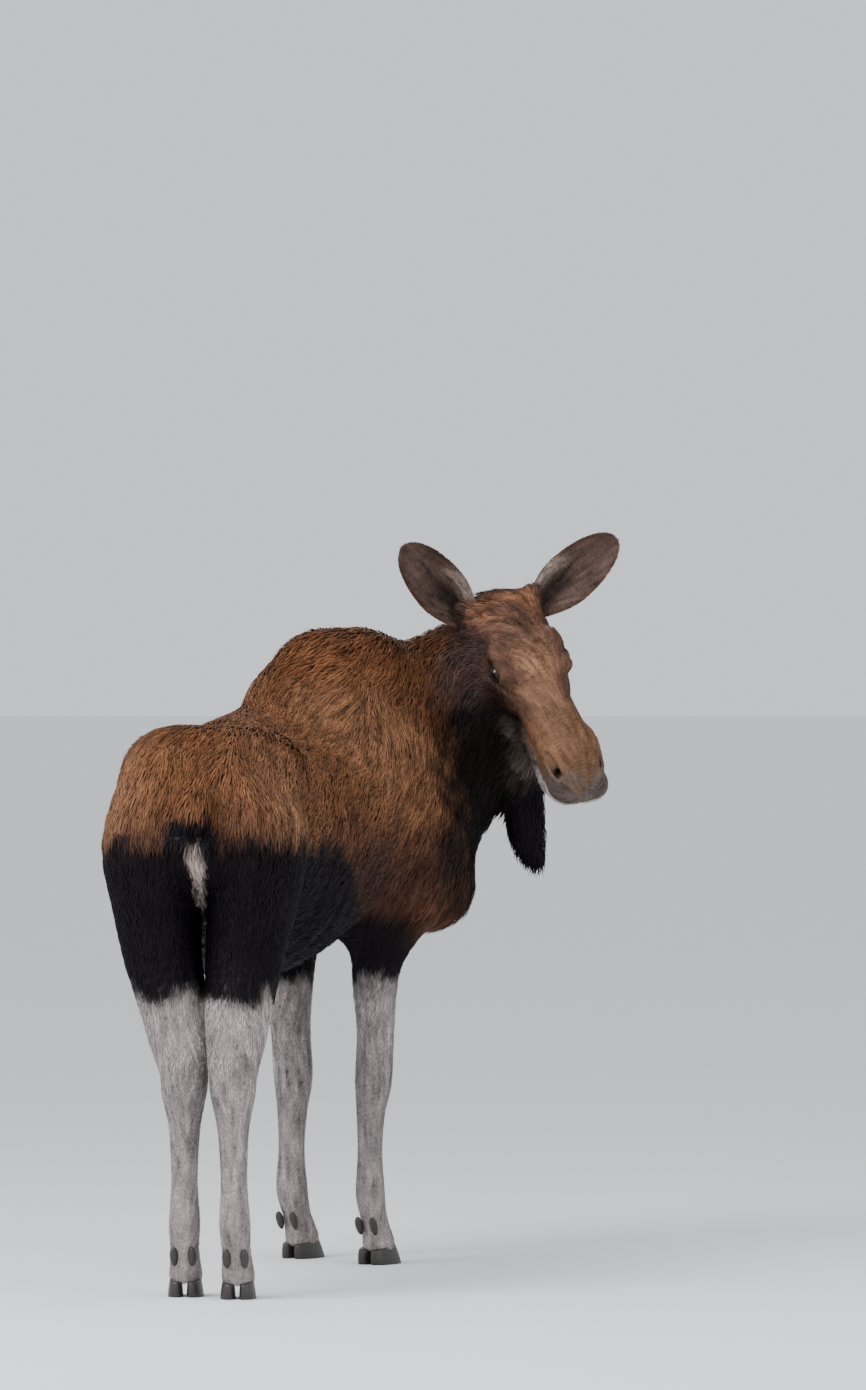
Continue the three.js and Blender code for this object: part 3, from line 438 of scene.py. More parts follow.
@dataclass(frozen=True)
class Leg:
    """How one leg stands, in body space and millimetres. side is 1 on the right."""

    part: Part
    side: int
    foot: float
    knee: float = 0
    hock: float = 0
    stance: float = 0
    hip: float = 262
    shoulder: float = 1400

    @property
    def hind(self) -> bool:
        """Whether it is a hind leg."""
        return self.part in (Part.HIND_RIGHT, Part.HIND_LEFT)

    @property
    def right(self) -> float:
        """How far to the right of the spine the foot stands."""
        return self.side * (75 + self.hock if self.hind else self.stance)

    def station(self, along: float, out: float, *rest: float) -> Station:
        """One station of the leg, on its own side of the body. The reach back may be left out."""
        return (along, out * self.side, *rest[:3], rest[-1])

    def sweeps(self) -> list[Sweep]:
        """The sweeps of the leg, from the body down."""
        return self.hind_sweeps() if self.hind else self.fore_sweeps()

    def middles(self) -> Array:
        """Points along the middle of the limb, from the lowest up."""
        limb = self.sweeps()[0 if self.hind else 1]
        points = np.array([start[:3] for start, *_ in limb.lengths])
        return points[np.argsort(points[:, 2])]

    def hind_sweeps(self) -> list[Sweep]:
        """A hind leg from the buttock to the coronet."""
        at, foot, knee, hock, hip = self.station, self.foot, self.knee, self.hock, self.hip
        slant = hock - knee
        shank = (hip - 90) * 0.6 + (foot + 45) * 0.4
        limb = [
            at(hip, 100, 1330, 120, 170, 190),
            at(hip - 8, 146, 1190, 124, 225, 230),
            at(hip - 12, 138 + knee, 1040, 120, 235, 205),
            at(hip - 42, 120 + knee, 900, 104, 180, 150),
            at(shank, 98 + knee + slant * 0.4, 780, 92, 112, 98),
            at(foot + 5, 84 + knee + slant * 0.7, 680, 80, 76, 70),
            at(foot - 42, 70 + hock, 595, 66, 58, 60),
            at(foot - 42, 70 + hock, 530, 58, 54, 56),
            at(foot - 34, 70 + hock, 440, 42, 42, 44),
            at(foot - 28, 71 + hock, 310, 36, 37, 38),
            at(foot - 18, 72 + hock, 200, 42, 44, 46),
            at(foot + 4, 74 + hock, 125, 39, 40, 38),
            at(foot + 34, 75 + hock, 58, 45, 52, 46),
        ]
        heel = [at(foot - 92, 70 + hock, 620, 24, 26), at(foot - 68, 70 + hock, 555, 30, 30)]
        return [Sweep(limb, (1, 0, 0), 70), Sweep(heel, blend=50)]

    def fore_sweeps(self) -> list[Sweep]:
        """A foreleg from the top of the shoulder blade to the coronet."""
        at, foot, stance, shoulder = self.station, self.foot, self.stance, self.shoulder
        blade = [
            at(shoulder - 80, 95, 1570, 55, 90),
            at(shoulder + 20, 165, 1400, 88, 140, 150),
            at(shoulder + 150, 210, 1200, 95, 120, 150),
        ]
        limb = [
            at(shoulder + 150, 205, 1190, 92, 110),
            at(shoulder + 40, 200, 1050, 92, 125, 130),
            at(foot + 10, 182, 920, 78, 104),
            at(foot + 4, 168, 790, 64, 78, 76),
            at(foot + 2, stance + 12, 650, 54, 60, 58),
            at(foot + 4, stance + 4, 510, 54, 55, 54),
            at(foot - 4, stance, 420, 42, 42, 44),
            at(foot - 8, stance, 310, 36, 37, 38),
            at(foot - 6, stance, 200, 42, 44, 46),
            at(foot + 14, stance, 125, 39, 40, 38),
            at(foot + 36, stance, 58, 46, 52, 46),
        ]
        return [Sweep(blade, (1, 0, 0), 110), Sweep(limb, (1, 0, 0), 80)]


LEGS = (
    Leg(Part.HIND_RIGHT, 1, foot=85, knee=-10, hock=30),
    Leg(Part.HIND_LEFT, -1, foot=150, knee=-12, hock=-34),
    Leg(Part.FORE_RIGHT, 1, foot=1420, stance=158),
    Leg(Part.FORE_LEFT, -1, foot=1475, stance=150),
)


def trunk_sweeps() -> list[Sweep]:
    """The barrel, the hump and the hips, in body space."""
    barrel = [
        (130, 0, 1225, 150, 108, 125),
        (340, 0, 1245, 235, 237, 240),
        (620, 0, 1190, 290, 290, 310),
        (880, 0, 1160, 335, 325, 345),
        (1130, 0, 1190, 330, 305, 325),
        (1360, 0, 1240, 290, 300, 320),
        (1560, 10, 1270, 255, 290, 310),
        (1710, 25, 1260, 205, 250, 260),
    ]
    hump = [
        (780, 0, 1390, 75, 98, 120),
        (1080, 0, 1445, 85, 115, 150),
        (1360, 0, 1580, 92, 164, 200),
        (1560, 10, 1600, 95, 135, 200),
    ]
    hips = [
        Sweep([(290, 90 * side, 1400, 60, 66, 66), (470, 150 * side, 1385, 60, 66, 66)], blend=110)
        for side in (1, -1)
    ]
    return [Sweep(barrel), Sweep(hump, blend=110), *hips]


def neck_sweeps() -> list[Sweep]:
    """The neck and the brisket, in the model's own space."""
    neck = [
        (-70, -1450, 1360, 180, 325, 330),
        (-205, -1610, 1405, 178, 335, 330),
        (-325, -1710, 1490, 162, 278, 300),
        (-425, -1755, 1610, 138, 206, 232),
        (-500, -1745, 1720, 112, 130, 165),
    ]
    brisket = [(-245, -1420, 1040, 140, 130, 125), (-316, -1586, 1040, 140, 130, 122)]
    return [Sweep(neck, blend=120), Sweep(brisket, blend=130)]


def head_sweeps() -> list[Sweep]:
    """The skull, the muzzle and the jaw, in head space."""
    up = (0, 1, 0)
    crown = [
        (-5, -68, 0, 94, 62, 72),
        (90, -68, 0, 106, 88, 95),
        (200, -68, 0, 104, 74, 95),
        (315, -73, 0, 82, 66, 76),
        (430, -77, 0, 80, 79, 74),
        (495, -90, 0, 84, 90, 72),
        (546, -118, 0, 78, 66, 66),
    ]
    # She chews, so the upper lip is drawn to her left and the chin to her right.
    lip = [(566, -150, -58, 44, 46, 46), (560, -138, 26, 38, 42, 42)]
    jaw = [
        (85, -135, 0, 74, 80, 92),
        (200, -145, 0, 66, 70, 80),
        (350, -154, 0, 62, 46, 80),
        (450, -172, 2, 66, 34, 58),
        (506, -190, 8, 62, 32, 37),
        (538, -196, 10, 46, 26, 28),
    ]
    made = [Sweep(crown, up, 30), Sweep(lip, up, 36), Sweep(jaw, up, 34)]
    for side in (1, -1):
        cheek = [(95, -110, 62 * side, 42, 80, 80), (235, -108, 58 * side, 36, 60, 60)]
        brow = [(145, -14, 86 * side, 28, 28, 28), (240, -24, 90 * side, 23, 21, 21)]
        arch = [(130, -84, 92 * side, 22, 24, 24), (285, -88, 74 * side, 18, 22, 22)]
        nostril = [(470, -54, 50 * side + 2, 32, 30, 30), (546, -82, 46 * side + 3, 31, 31, 31)]
        ear_root = [(20, -55, 66 * side, 40, 40, 40), (-10, -40, 106 * side, 34, 34, 34)]
        made += [Sweep(cheek, up, 50), Sweep(brow, up, 36), Sweep(arch, up, 36)]
        made += [Sweep(nostril, up, 36), Sweep(ear_root, up, 50)]
    return made


def bell_sweeps() -> list[Sweep]:
    """The hanging flap of skin under the throat, in the model's own space."""
    flap = [
        (-548, -1794, 1500, 34, 60, 66),
        (-553, -1797, 1370, 36, 64, 66),
        (-565, -1795, 1230, 36, 64, 58),
        (-580, -1794, 1160, 32, 52, 46),
        (-602, -1793, 1116, 20, 26, 26),
    ]
    return [Sweep(flap, (1, 0, 0), 40)]


def tail_sweeps() -> list[Sweep]:
    """The short tail, in body space."""
    brush = [
        (90, 0, 1335, 46, 30, 30),
        (38, 0, 1310, 52, 26, 28),
        (10, 0, 1265, 44, 20, 24),
        (2, 0, 1230, 28, 12, 15),
    ]
    return [Sweep(brush, (1, 0, 0), 20)]


def by_part(share: Array, *values: Array | float) -> Array:
    """Mixes what the parts have by how much each point belongs to them.

    Args:
        share: The points' shares, with the parts along the first axis.
        values: What the trunk, the neck, the head, the bell, the tail and the legs have.

    Returns:
        The mixed values.
    """
    trunk, neck, head, bell, tail, leg = values
    upper = share[0] * trunk + share[1] * neck + share[2] * head
    return upper + (share[3] * bell + share[4] * tail) + share[5:].sum(axis=0) * leg


@dataclass
class Places:
    """Points on or near the animal, and where they are on it."""

    p: Array
    body: Array
    head: Array
    apart: Array
    surface: Array

    def near(self, softness: float = 0.022) -> Array:
        """How much each point belongs to each part, a row for each part, adding up to one."""
        away = self.apart - self.apart.min(axis=1, keepdims=True)
        share = np.exp(-away / softness)
        return (share / share.sum(axis=1, keepdims=True)).T


@dataclass
class Flesh:
    """The outline of the coat's tips, from the sweeps of each part."""

    neck_blend: float = 0.140
    head_blend: float = 0.060
    bell_blend: float = 0.040
    tail_blend: float = 0.020
    thigh_blend: float = 0.018
    trunk: list[Sweep] = field(default_factory=trunk_sweeps)
    neck: list[Sweep] = field(default_factory=neck_sweeps)
    head: list[Sweep] = field(default_factory=head_sweeps)
    bell: list[Sweep] = field(default_factory=bell_sweeps)
    tail: list[Sweep] = field(default_factory=tail_sweeps)
    legs: list[list[Sweep]] = field(default_factory=lambda: [leg.sweeps() for leg in LEGS])

    def places(self, p: Array) -> Places:
        """Measures how far points are from each part and from the whole.

        Args:
            p: Points in the model.

        Returns:
            The points with their coordinates and distances.
        """
        body, head = POSTURE.into_body(p), POSTURE.into_head(p)
        apart = np.full((len(p), len(Part)), FAR)
        apart[:, Part.TRUNK.value] = trunk = blended(self.trunk, body)
        whole = np.full(len(p), FAR)
        for leg, sweeps in zip(LEGS, self.legs):
            apart[:, leg.part.value] = own = blended(sweeps, body)
            joined = soft_min(trunk, own, sweeps[0].blend)
            whole = soft_min(whole, joined, self.thigh_blend)
        apart[:, Part.NECK.value] = neck = blended(self.neck, p)
        apart[:, Part.HEAD.value] = skull = blended(self.head, head)
        apart[:, Part.BELL.value] = bell = blended(self.bell, p)
        apart[:, Part.TAIL.value] = tail = blended(self.tail, body)
        whole = soft_min(whole, neck, self.neck_blend)
        whole = soft_min(whole, skull, self.head_blend)
        whole = soft_min(whole, bell, self.bell_blend)
        whole = soft_min(whole, tail, self.tail_blend)
        return Places(p, body, head, apart, whole)


FLESH = Flesh()


# ------------------------------------------------------------------ the pelt's pattern


def shade(*rgb: float) -> Array:
    """A colour given as it looks on a screen, from 0 to 255, as light."""
    c = np.array(rgb, float) / 255
    return np.where(c <= 0.04045, c / 12.92, ((c + 0.055) / 1.055) ** 2.4)


BLACK = shade(16, 11, 15)
RUMP_BROWN = shade(100, 65, 42)
LIT_TAN = shade(130, 94, 70)
HUMP_BROWN = shade(99, 62, 38)
FLANK_BROWN = shade(58, 37, 29)
NECK_BROWN = shade(79, 49, 31)
CHEEK_DARK = shade(19, 12, 12)
CHEEK_SOFT = shade(60, 45, 42)
FACE_BROWN = shade(132, 97, 75)
CROWN_RUST = shade(148, 101, 73)
FOREHEAD_DARK = shade(82, 61, 52)
# The brown of the painted shade on the sides of the head.
SIDE_SHADE_BROWN = shade(78, 54, 47)
NOSE_BROWN = shade(112, 81, 60)
LIP_GREY = shade(98, 86, 80)
LIP_PALE = shade(212, 203, 199)
JAW_GREY = shade(84, 73, 66)
LEG_GREY = shade(152, 142, 141)
PATCH_PALE = shade(148, 133, 126)
EAR_OUT = shade(86, 62, 50)
EAR_IN = shade(84, 67, 60)
EAR_PALE = shade(168, 150, 138)
BARE_DARK = shade(30, 25, 24)
HORN_GREY = shade(44, 39, 36)
IRIS = shade(38, 24, 15)
IRIS_RIM = shade(12, 8, 7)
PUPIL = shade(5, 5, 7)

WOBBLE = Noise(3)
TONE = Noise(5)


def lip_level(nose: Array) -> Array:
    """The level of the lips' parting in head space, by the distance from the poll."""
    return table(nose, (0.38, -0.131), (0.44, -0.142), (0.50, -0.154), (0.55, -0.165), (0.62, -0.185))


@dataclass(frozen=True)
class Pelt:
    """How deep, how long and of what colour the hair is, and how it lies, by the place on the body."""

    @staticmethod
    def depth(at: Places) -> Array:
        """How far the skin lies under the coat's tips.

        Args:
            at: Points near the surface.

        Returns:
            The depth at each.
        """
        share = at.near(0.03)
        along, _, up = at.body.T
        nose, crown, _ = at.head.T
        mane = smooth(along, 0.95, 1.25) * smooth(up, 1.52, 1.70)
        trunk = 0.010 + 0.008 * mane
        neck = 0.012 + 0.004 * smooth(up, 1.35, 1.65)
        head = table(nose, (-0.02, 0.010), (0.08, 0.007), (0.25, 0.0045), (0.42, 0.003), (0.55, 0.002))
        head = head + 0.003 * smooth(crown, -0.13, -0.19) * smooth(nose, 0.45, 0.30)
        leg = table(up, (0.10, 0.0025), (0.50, 0.003), (0.70, 0.004), (0.95, 0.007), (1.15, 0.010))
        return by_part(share, trunk, neck, head, 0.011, 0.009, leg)

    @staticmethod
    def length(at: Places) -> Array:
        """The length of the hair at some places on the skin."""
        share = at.near()
        along, _, up = at.body.T
        nose, crown, _ = at.head.T
        mane = smooth(along, 0.95, 1.25) * smooth(up, 1.50, 1.68)
        belly = smooth(up, 1.02, 0.90)
        trunk = 0.052 + 0.020 * mane + 0.010 * belly
        neck = 0.056 + 0.010 * smooth(up, 1.30, 1.05)
        crop = (0.2, 0.0125), (0.34, 0.0100), (0.46, 0.008), (0.56, 0.006)
        head = table(nose, (-0.02, 0.028), (0.08, 0.017), *crop)
        head = head * (1 + 0.7 * smooth(crown, -0.12, -0.19) * smooth(nose, 0.5, 0.3))
        leg = table(up, (0.08, 0.011), (0.50, 0.012), (0.68, 0.018), (0.85, 0.030), (1.10, 0.044))
        leg = leg + 0.010 * swell(up, 0.125, 0.030)
        return by_part(share, trunk, neck, head, 0.060, 0.050, leg)

    @staticmethod
    def lie(at: Places) -> Array:
        """The way that the hair points, before it is laid along the skin.

        Args:
            at: Places on the skin.

        Returns:
            A vector for each.
        """
        share = at.near(0.05)[..., None]
        along, right, up = at.body.T
        _, crown, cheek = at.head.T
        ahead = POSTURE.ahead(POSTURE.heading(along))
        side = POSTURE.rightward(POSTURE.heading(along))
        down = np.array([0.0, 0.0, -1.0])
        drop = 0.30 + 0.45 * smooth(up, 1.48, 1.20) + 0.9 * smooth(along, 0.42, 0.10)
        drop = drop * smooth(up, 0.80, 1.00) + 0.1
        trunk = -ahead * (1 - 0.6 * smooth(along, 0.35, 0.05))[:, None] + down * drop[:, None]
        croup = smooth(along, 0.62, 0.30) * smooth(up, 1.16, 1.34)
        trunk = trunk - side * (croup * np.where(right < 0, 0.85, 0.55))[:, None]
        for whirl in (-1, 1):
            spot = np.array([1.330, whirl * 0.170, 1.520])
            away = at.body - spot
            near = 2.2 * swell(np.linalg.norm(away, axis=1), 0.0, 0.16)
            outward = ahead * away[:, :1] + side * away[:, 1:2] - down * away[:, 2:]
            trunk = trunk + unit(outward) * near[:, None]
        front = smooth(along, 1.55, 1.85)
        trunk = mix(trunk, 0.3 * side * np.sign(right)[:, None] + down, front)
        neck = unit(np.array([0.43, 0.30, -0.50])) + down * 0.45
        axes = POSTURE.head_axes
        spread = 0.35 * np.clip(cheek / 0.08, -1, 1) * smooth(crown, -0.06, 0.0)
        back = -axes[0] + axes[2] * spread[:, None]
        back = back - axes[1] * (0.45 * smooth(crown, -0.06, -0.16))[:, None]
        leg = down - ahead * 0.18 * smooth(up, 0.6, 0.9)[:, None]
        total = by_part(share, trunk, neck, back, down + [0.1, 0.0, 0.0], down - 0.3 * ahead, leg)
        sway = np.stack([WOBBLE(at.p + shift, 0.085) for shift in (3.1, 7.7, 11.3)], axis=1)
        return unit(total) + 0.22 * sway

    @staticmethod
    def colour(at: Places) -> Array:
        """The mean colour of the coat.

        Args:
            at: Places on the skin.

        Returns:
            A row of red, green and blue for each.
        """
        share = at.near(0.018)
        along, right, up = at.body.T
        x, y, z = at.p.T
        ragged = 0.020 * WOBBLE(at.p, 0.045) + 0.012 * WOBBLE(at.p + 5, 0.014)
        border = table(z, (1.10, 0.412), (1.35, 0.385), (1.55, 0.355))
        shaded = smooth(-x + 1.5 * ragged - border, -0.045, 0.055)
        shaded = shaded * smooth(y, -1.20, -1.35) * smooth(z, 1.82, 1.70)
        shaded = np.maximum(shaded, smooth(along, 1.76, 1.92) * smooth(up, 1.45, 1.25))
        dark = mix(CHEEK_DARK, CHEEK_SOFT, smooth(z, 1.53, 1.62))
        neck = mix(NECK_BROWN, dark, shaded)
        trunk = mix(Pelt.trunk(at, ragged), dark, shaded)
        leg = mix(LEG_GREY, BLACK, smooth(up + 2 * ragged, 0.755, 0.815))
        leg = mix(leg, trunk, smooth(up, 0.95, 1.0))
        tail = mix(RUMP_BROWN, BLACK, smooth(up, 1.295, 1.270))
        total = by_part(share[..., None], trunk, neck, Pelt.face(at, ragged), BLACK, tail, leg)
        seat = np.hypot(right / (0.024 * smooth(up, 1.01, 1.19) + 0.004), (up - 1.128) / 0.090)
        seat = smooth(seat + ragged * 9, 1.20, 0.80) * smooth(along, 0.35, 0.2)
        total = mix(total, PATCH_PALE, seat)
        throat = Pelt.throat(at, ragged) * smooth(share[Part.HEAD.value], 0.9, 0.4)
        total = mix(total, JAW_GREY, 0.9 * throat)
        tone = 1 + 0.16 * TONE(at.p, 0.11) + 0.10 * TONE(at.p + 9, 0.035)
        return total * tone[:, None]

    @staticmethod
    def trunk(at: Places, ragged: Array) -> Array:
        """The colours of the trunk: brown above, black below a ragged edge, and a painted shadow under the
        tail.

        Args:
            at: Places on the skin.
            ragged: How much each border is shifted there.

        Returns:
            A row of red, green and blue for each.
        """
        along, right, up = at.body.T
        side = np.abs(right)
        trunk = mix(RUMP_BROWN, LIT_TAN, 0.7 * smooth(side, 0.08, 0.26) * smooth(along, 0.5, 0.1))
        trunk = mix(trunk, FLANK_BROWN, smooth(along, 0.40, 0.70) * smooth(up, 1.35, 1.10))
        shoulder = smooth(along, 1.00, 1.25) * smooth(up, 1.15, 1.35)
        trunk = mix(trunk, mix(RUMP_BROWN, LIT_TAN, 0.35), shoulder)
        trunk = mix(trunk, HUMP_BROWN, smooth(up, 1.55, 1.68) * smooth(along, 0.9, 1.2))
        trunk = mix(trunk, HUMP_BROWN * 0.7, 0.6 * smooth(side + ragged, 0.08, 0.01) * smooth(up, 1.3, 1.4))
        edges = (0.1, 1.212), (0.45, 1.212), (0.72, 1.18), (0.95, 1.045), (1.35, 0.97), (1.7, 0.99)
        edge = table(along, *edges)
        above = smooth(up + ragged, edge + 0.130, edge + 0.010)
        above = above * smooth(side, 0.27, 0.16) * smooth(along, 0.6, 0.4)
        trunk = mix(trunk, FLANK_BROWN, 0.7 * above)
        trunk = mix(trunk, BLACK, smooth(up + 1.4 * ragged, edge + 0.034, edge - 0.030))
        # A painted shadow: the rump under the tail's arch is painted black, as the shadow that the tail
        # casts.
        arch = 1.292 - 6.0 * side**2
        tail_shadow = smooth(side + ragged, 0.098, 0.055) * smooth(along, 0.3, 0.15)
        tail_shadow = tail_shadow * smooth(up + ragged, arch + 0.012, arch - 0.016)
        return mix(trunk, BLACK, tail_shadow)

    @staticmethod
    def throat(at: Places, ragged: Array) -> Array:
        """How grey the hair behind the jaw is, on the side that the head is turned to."""
        nose, crown, cheek = at.head.T
        inner = smooth(0.4 * nose + 0.2 * crown - 0.9 * cheek + ragged, -0.010, 0.022)
        throat = smooth(nose, 0.24, 0.32) * smooth(nose, 0.54, 0.46) * smooth(at.p[:, 1], -1.5, -1.6)
        return throat * smooth(crown + 2 * ragged, -0.36, -0.26) * inner

    @staticmethod
    def face(at: Places, ragged: Array) -> Array:
        """The colours of the head.

        Args:
            at: Places on the skin.
            ragged: How much each border is shifted there.

        Returns:
            A row of red, green and blue for each.
        """
        nose, crown, cheek = at.head.T
        blur = 1.5 * ragged
        colour = mix(CROWN_RUST, FACE_BROWN, smooth(nose + blur, 0.04, 0.15))
        out = np.abs(cheek) + blur
        middle = smooth(out, 0.075, 0.030) * smooth(nose, 0.00, 0.05) * smooth(nose, 0.20, 0.13)
        colour = mix(colour, FOREHEAD_DARK, 0.85 * middle)
        # Painted shade: the sides of the head, away from its top, are darkened toward this brown.
        outer = smooth(out, 0.030, 0.085) * smooth(nose, 0.44, 0.34) * smooth(nose, 0.03, 0.12)
        colour = mix(colour, SIDE_SHADE_BROWN, 0.75 * outer)
        colour = mix(colour, NOSE_BROWN, smooth(nose + blur, 0.34, 0.46))
        start = table(nose, (0.0, 0.00), (0.10, -0.02), (0.20, -0.045), (0.30, -0.075), (0.40, -0.12))
        dark = mix(CHEEK_DARK, CHEEK_SOFT, smooth(at.p[:, 2], 1.53, 1.62))
        low = smooth(crown + blur - start, 0.045, -0.045)
        colour = mix(colour, dark, low * smooth(nose + blur, 0.42, 0.34))
        colour = mix(colour, CHEEK_DARK, smooth(nose, 0.02, -0.04) * smooth(crown, 0.0, -0.05))
        colour = mix(colour, JAW_GREY, smooth(crown + blur, -0.12, -0.15) * smooth(nose, 0.29, 0.37))
        level = crown - lip_level(nose)
        colour = mix(colour, LIP_GREY, smooth(level + blur, 0.140, 0.080) * smooth(nose + blur, 0.50, 0.56))
        rim = smooth(np.abs(level - 0.012), 0.022, 0.012) * smooth(nose, 0.50, 0.54)
        colour = mix(colour, LIP_PALE, rim)
        chin = smooth(level, -0.010, -0.018) * smooth(nose, 0.44, 0.50)
        colour = mix(colour, LIP_PALE * 0.50, chin)
        # Painted shade: a dark ring round each eye, in its socket.
        for eye in EYES:
            ring = smooth(np.linalg.norm(at.head - eye.centre, axis=1), 0.048, 0.030)
            colour = mix(colour, FOREHEAD_DARK * 0.6, 0.8 * ring)
        return colour


# ------------------------------------------------------------------ meshes


def mesh_object(
    name: str,
    points: Array,
    faces: Array | Sequence[Array],
    colours: Array | None = None,
) -> bpy.types.Object:
    """A smooth-shaded mesh object.

    Args:
        name: Its name.
        points: The vertices.
        faces: Rows of vertex numbers, or several arrays of such rows.
        colours: The colour of each vertex, if it has any.

    Returns:
        The object, linked to the scene.
    """
    sheets = [faces] if isinstance(faces, np.ndarray) else list(faces)
    mesh = bpy.data.meshes.new(name)
    corners = np.concatenate([f.ravel() for f in sheets]).astype(np.int32)
    sizes = np.concatenate([np.full(len(f), f.shape[1], np.int32) for f in sheets])
    mesh.vertices.add(len(points))
    mesh.vertices.foreach_set("co", np.asarray(points, np.float32).ravel())
    mesh.loops.add(len(corners))
    mesh.loops.foreach_set("vertex_index", corners)
    mesh.polygons.add(len(sizes))
    mesh.polygons.foreach_set("loop_start", (np.cumsum(sizes) - sizes).astype(np.int32))
    mesh.polygons.foreach_set("use_smooth", np.ones(len(sizes), bool))
    if colours is not None:
        layer = mesh.color_attributes.new("pelt", "FLOAT_COLOR", "POINT")
        rgba = np.ones((len(points), 4), np.float32)
        rgba[:, :3] = colours
        layer.data.foreach_set("color", rgba.ravel())
    mesh.update(calc_edges=True)
    made = bpy.data.objects.new(name, mesh)
    bpy.context.scene.collection.objects.link(made)
    return made


def band_faces(rows: int, columns: int) -> Array:
    """The faces with four corners between closed rings of points, ring after ring."""
    index = np.arange(rows * columns).reshape(rows, columns)
    after = np.roll(index, -1, axis=1)
    return np.stack([index[:-1], after[:-1], after[1:], index[1:]], axis=-1).reshape(-1, 4)


def halves(quads: Array) -> Array:
    """Faces with four corners cut into two triangles each."""
    return np.concatenate([quads[:, [0, 1, 2]], quads[:, [0, 2, 3]]])


def faces_out(points: Array, faces: Array) -> bool:
    """Whether the faces of a closed surface are wound so that they face outward."""
    a, b, c = (points[faces[:, k]] - points.mean(axis=0) for k in range(3))
    return bool((a * np.cross(b, c)).sum() > 0)


def turned_out(points: Array, faces: Array) -> Array:
    """The faces of a closed surface, turned round if it is inside out."""
    return faces if faces_out(points, faces) else faces[:, ::-1]


def triangles_of(mesh: bpy.types.Mesh) -> tuple[Array, Array]:
    """The points and the triangles of a mesh."""
    mesh.calc_loop_triangles()
    points = np.empty(len(mesh.vertices) * 3, np.float32)
    mesh.vertices.foreach_get("co", points)
    corners = np.empty(len(mesh.loop_triangles) * 3, np.int32)
    mesh.loop_triangles.foreach_get("vertices", corners)
    return points.reshape(-1, 3).astype(float), corners.reshape(-1, 3)


def point_normals(points: Array, triangles: Array) -> Array:
    """The smooth normal at each point of a triangle mesh."""
    a, b, c = (points[triangles[:, k]] for k in range(3))
    flat = np.cross(b - a, c - a)
    total = np.zeros_like(points)
    for k in range(3):
        for axis in range(3):
            total[:, axis] += np.bincount(triangles[:, k], flat[:, axis], len(points))
    return unit(total)


Field = Callable[[Array], Array]


def slope_of(field_at: Field, p: Array, probe: float) -> Array:
    """The slope of a field, from its values at the corners of a small tetrahedron.

    Args:
        field_at: The field.
        p: Where to measure it.
        probe: How far off the corners are, along each axis.

    Returns:
        The slope at each point.
    """
    slope = np.zeros_like(p)
    for way in np.array([[1, 1, 1], [1, -1, -1], [-1, 1, -1], [-1, -1, 1]]):
        slope += field_at(p + way * probe)[:, None] * way / (4 * probe)
    return slope


def downhill(slope: Array) -> Array:
    """The step that lowers a field of some slope by one, kept short where the slope is slight."""
    return slope / np.maximum((slope * slope).sum(axis=1), 0.1)[:, None]


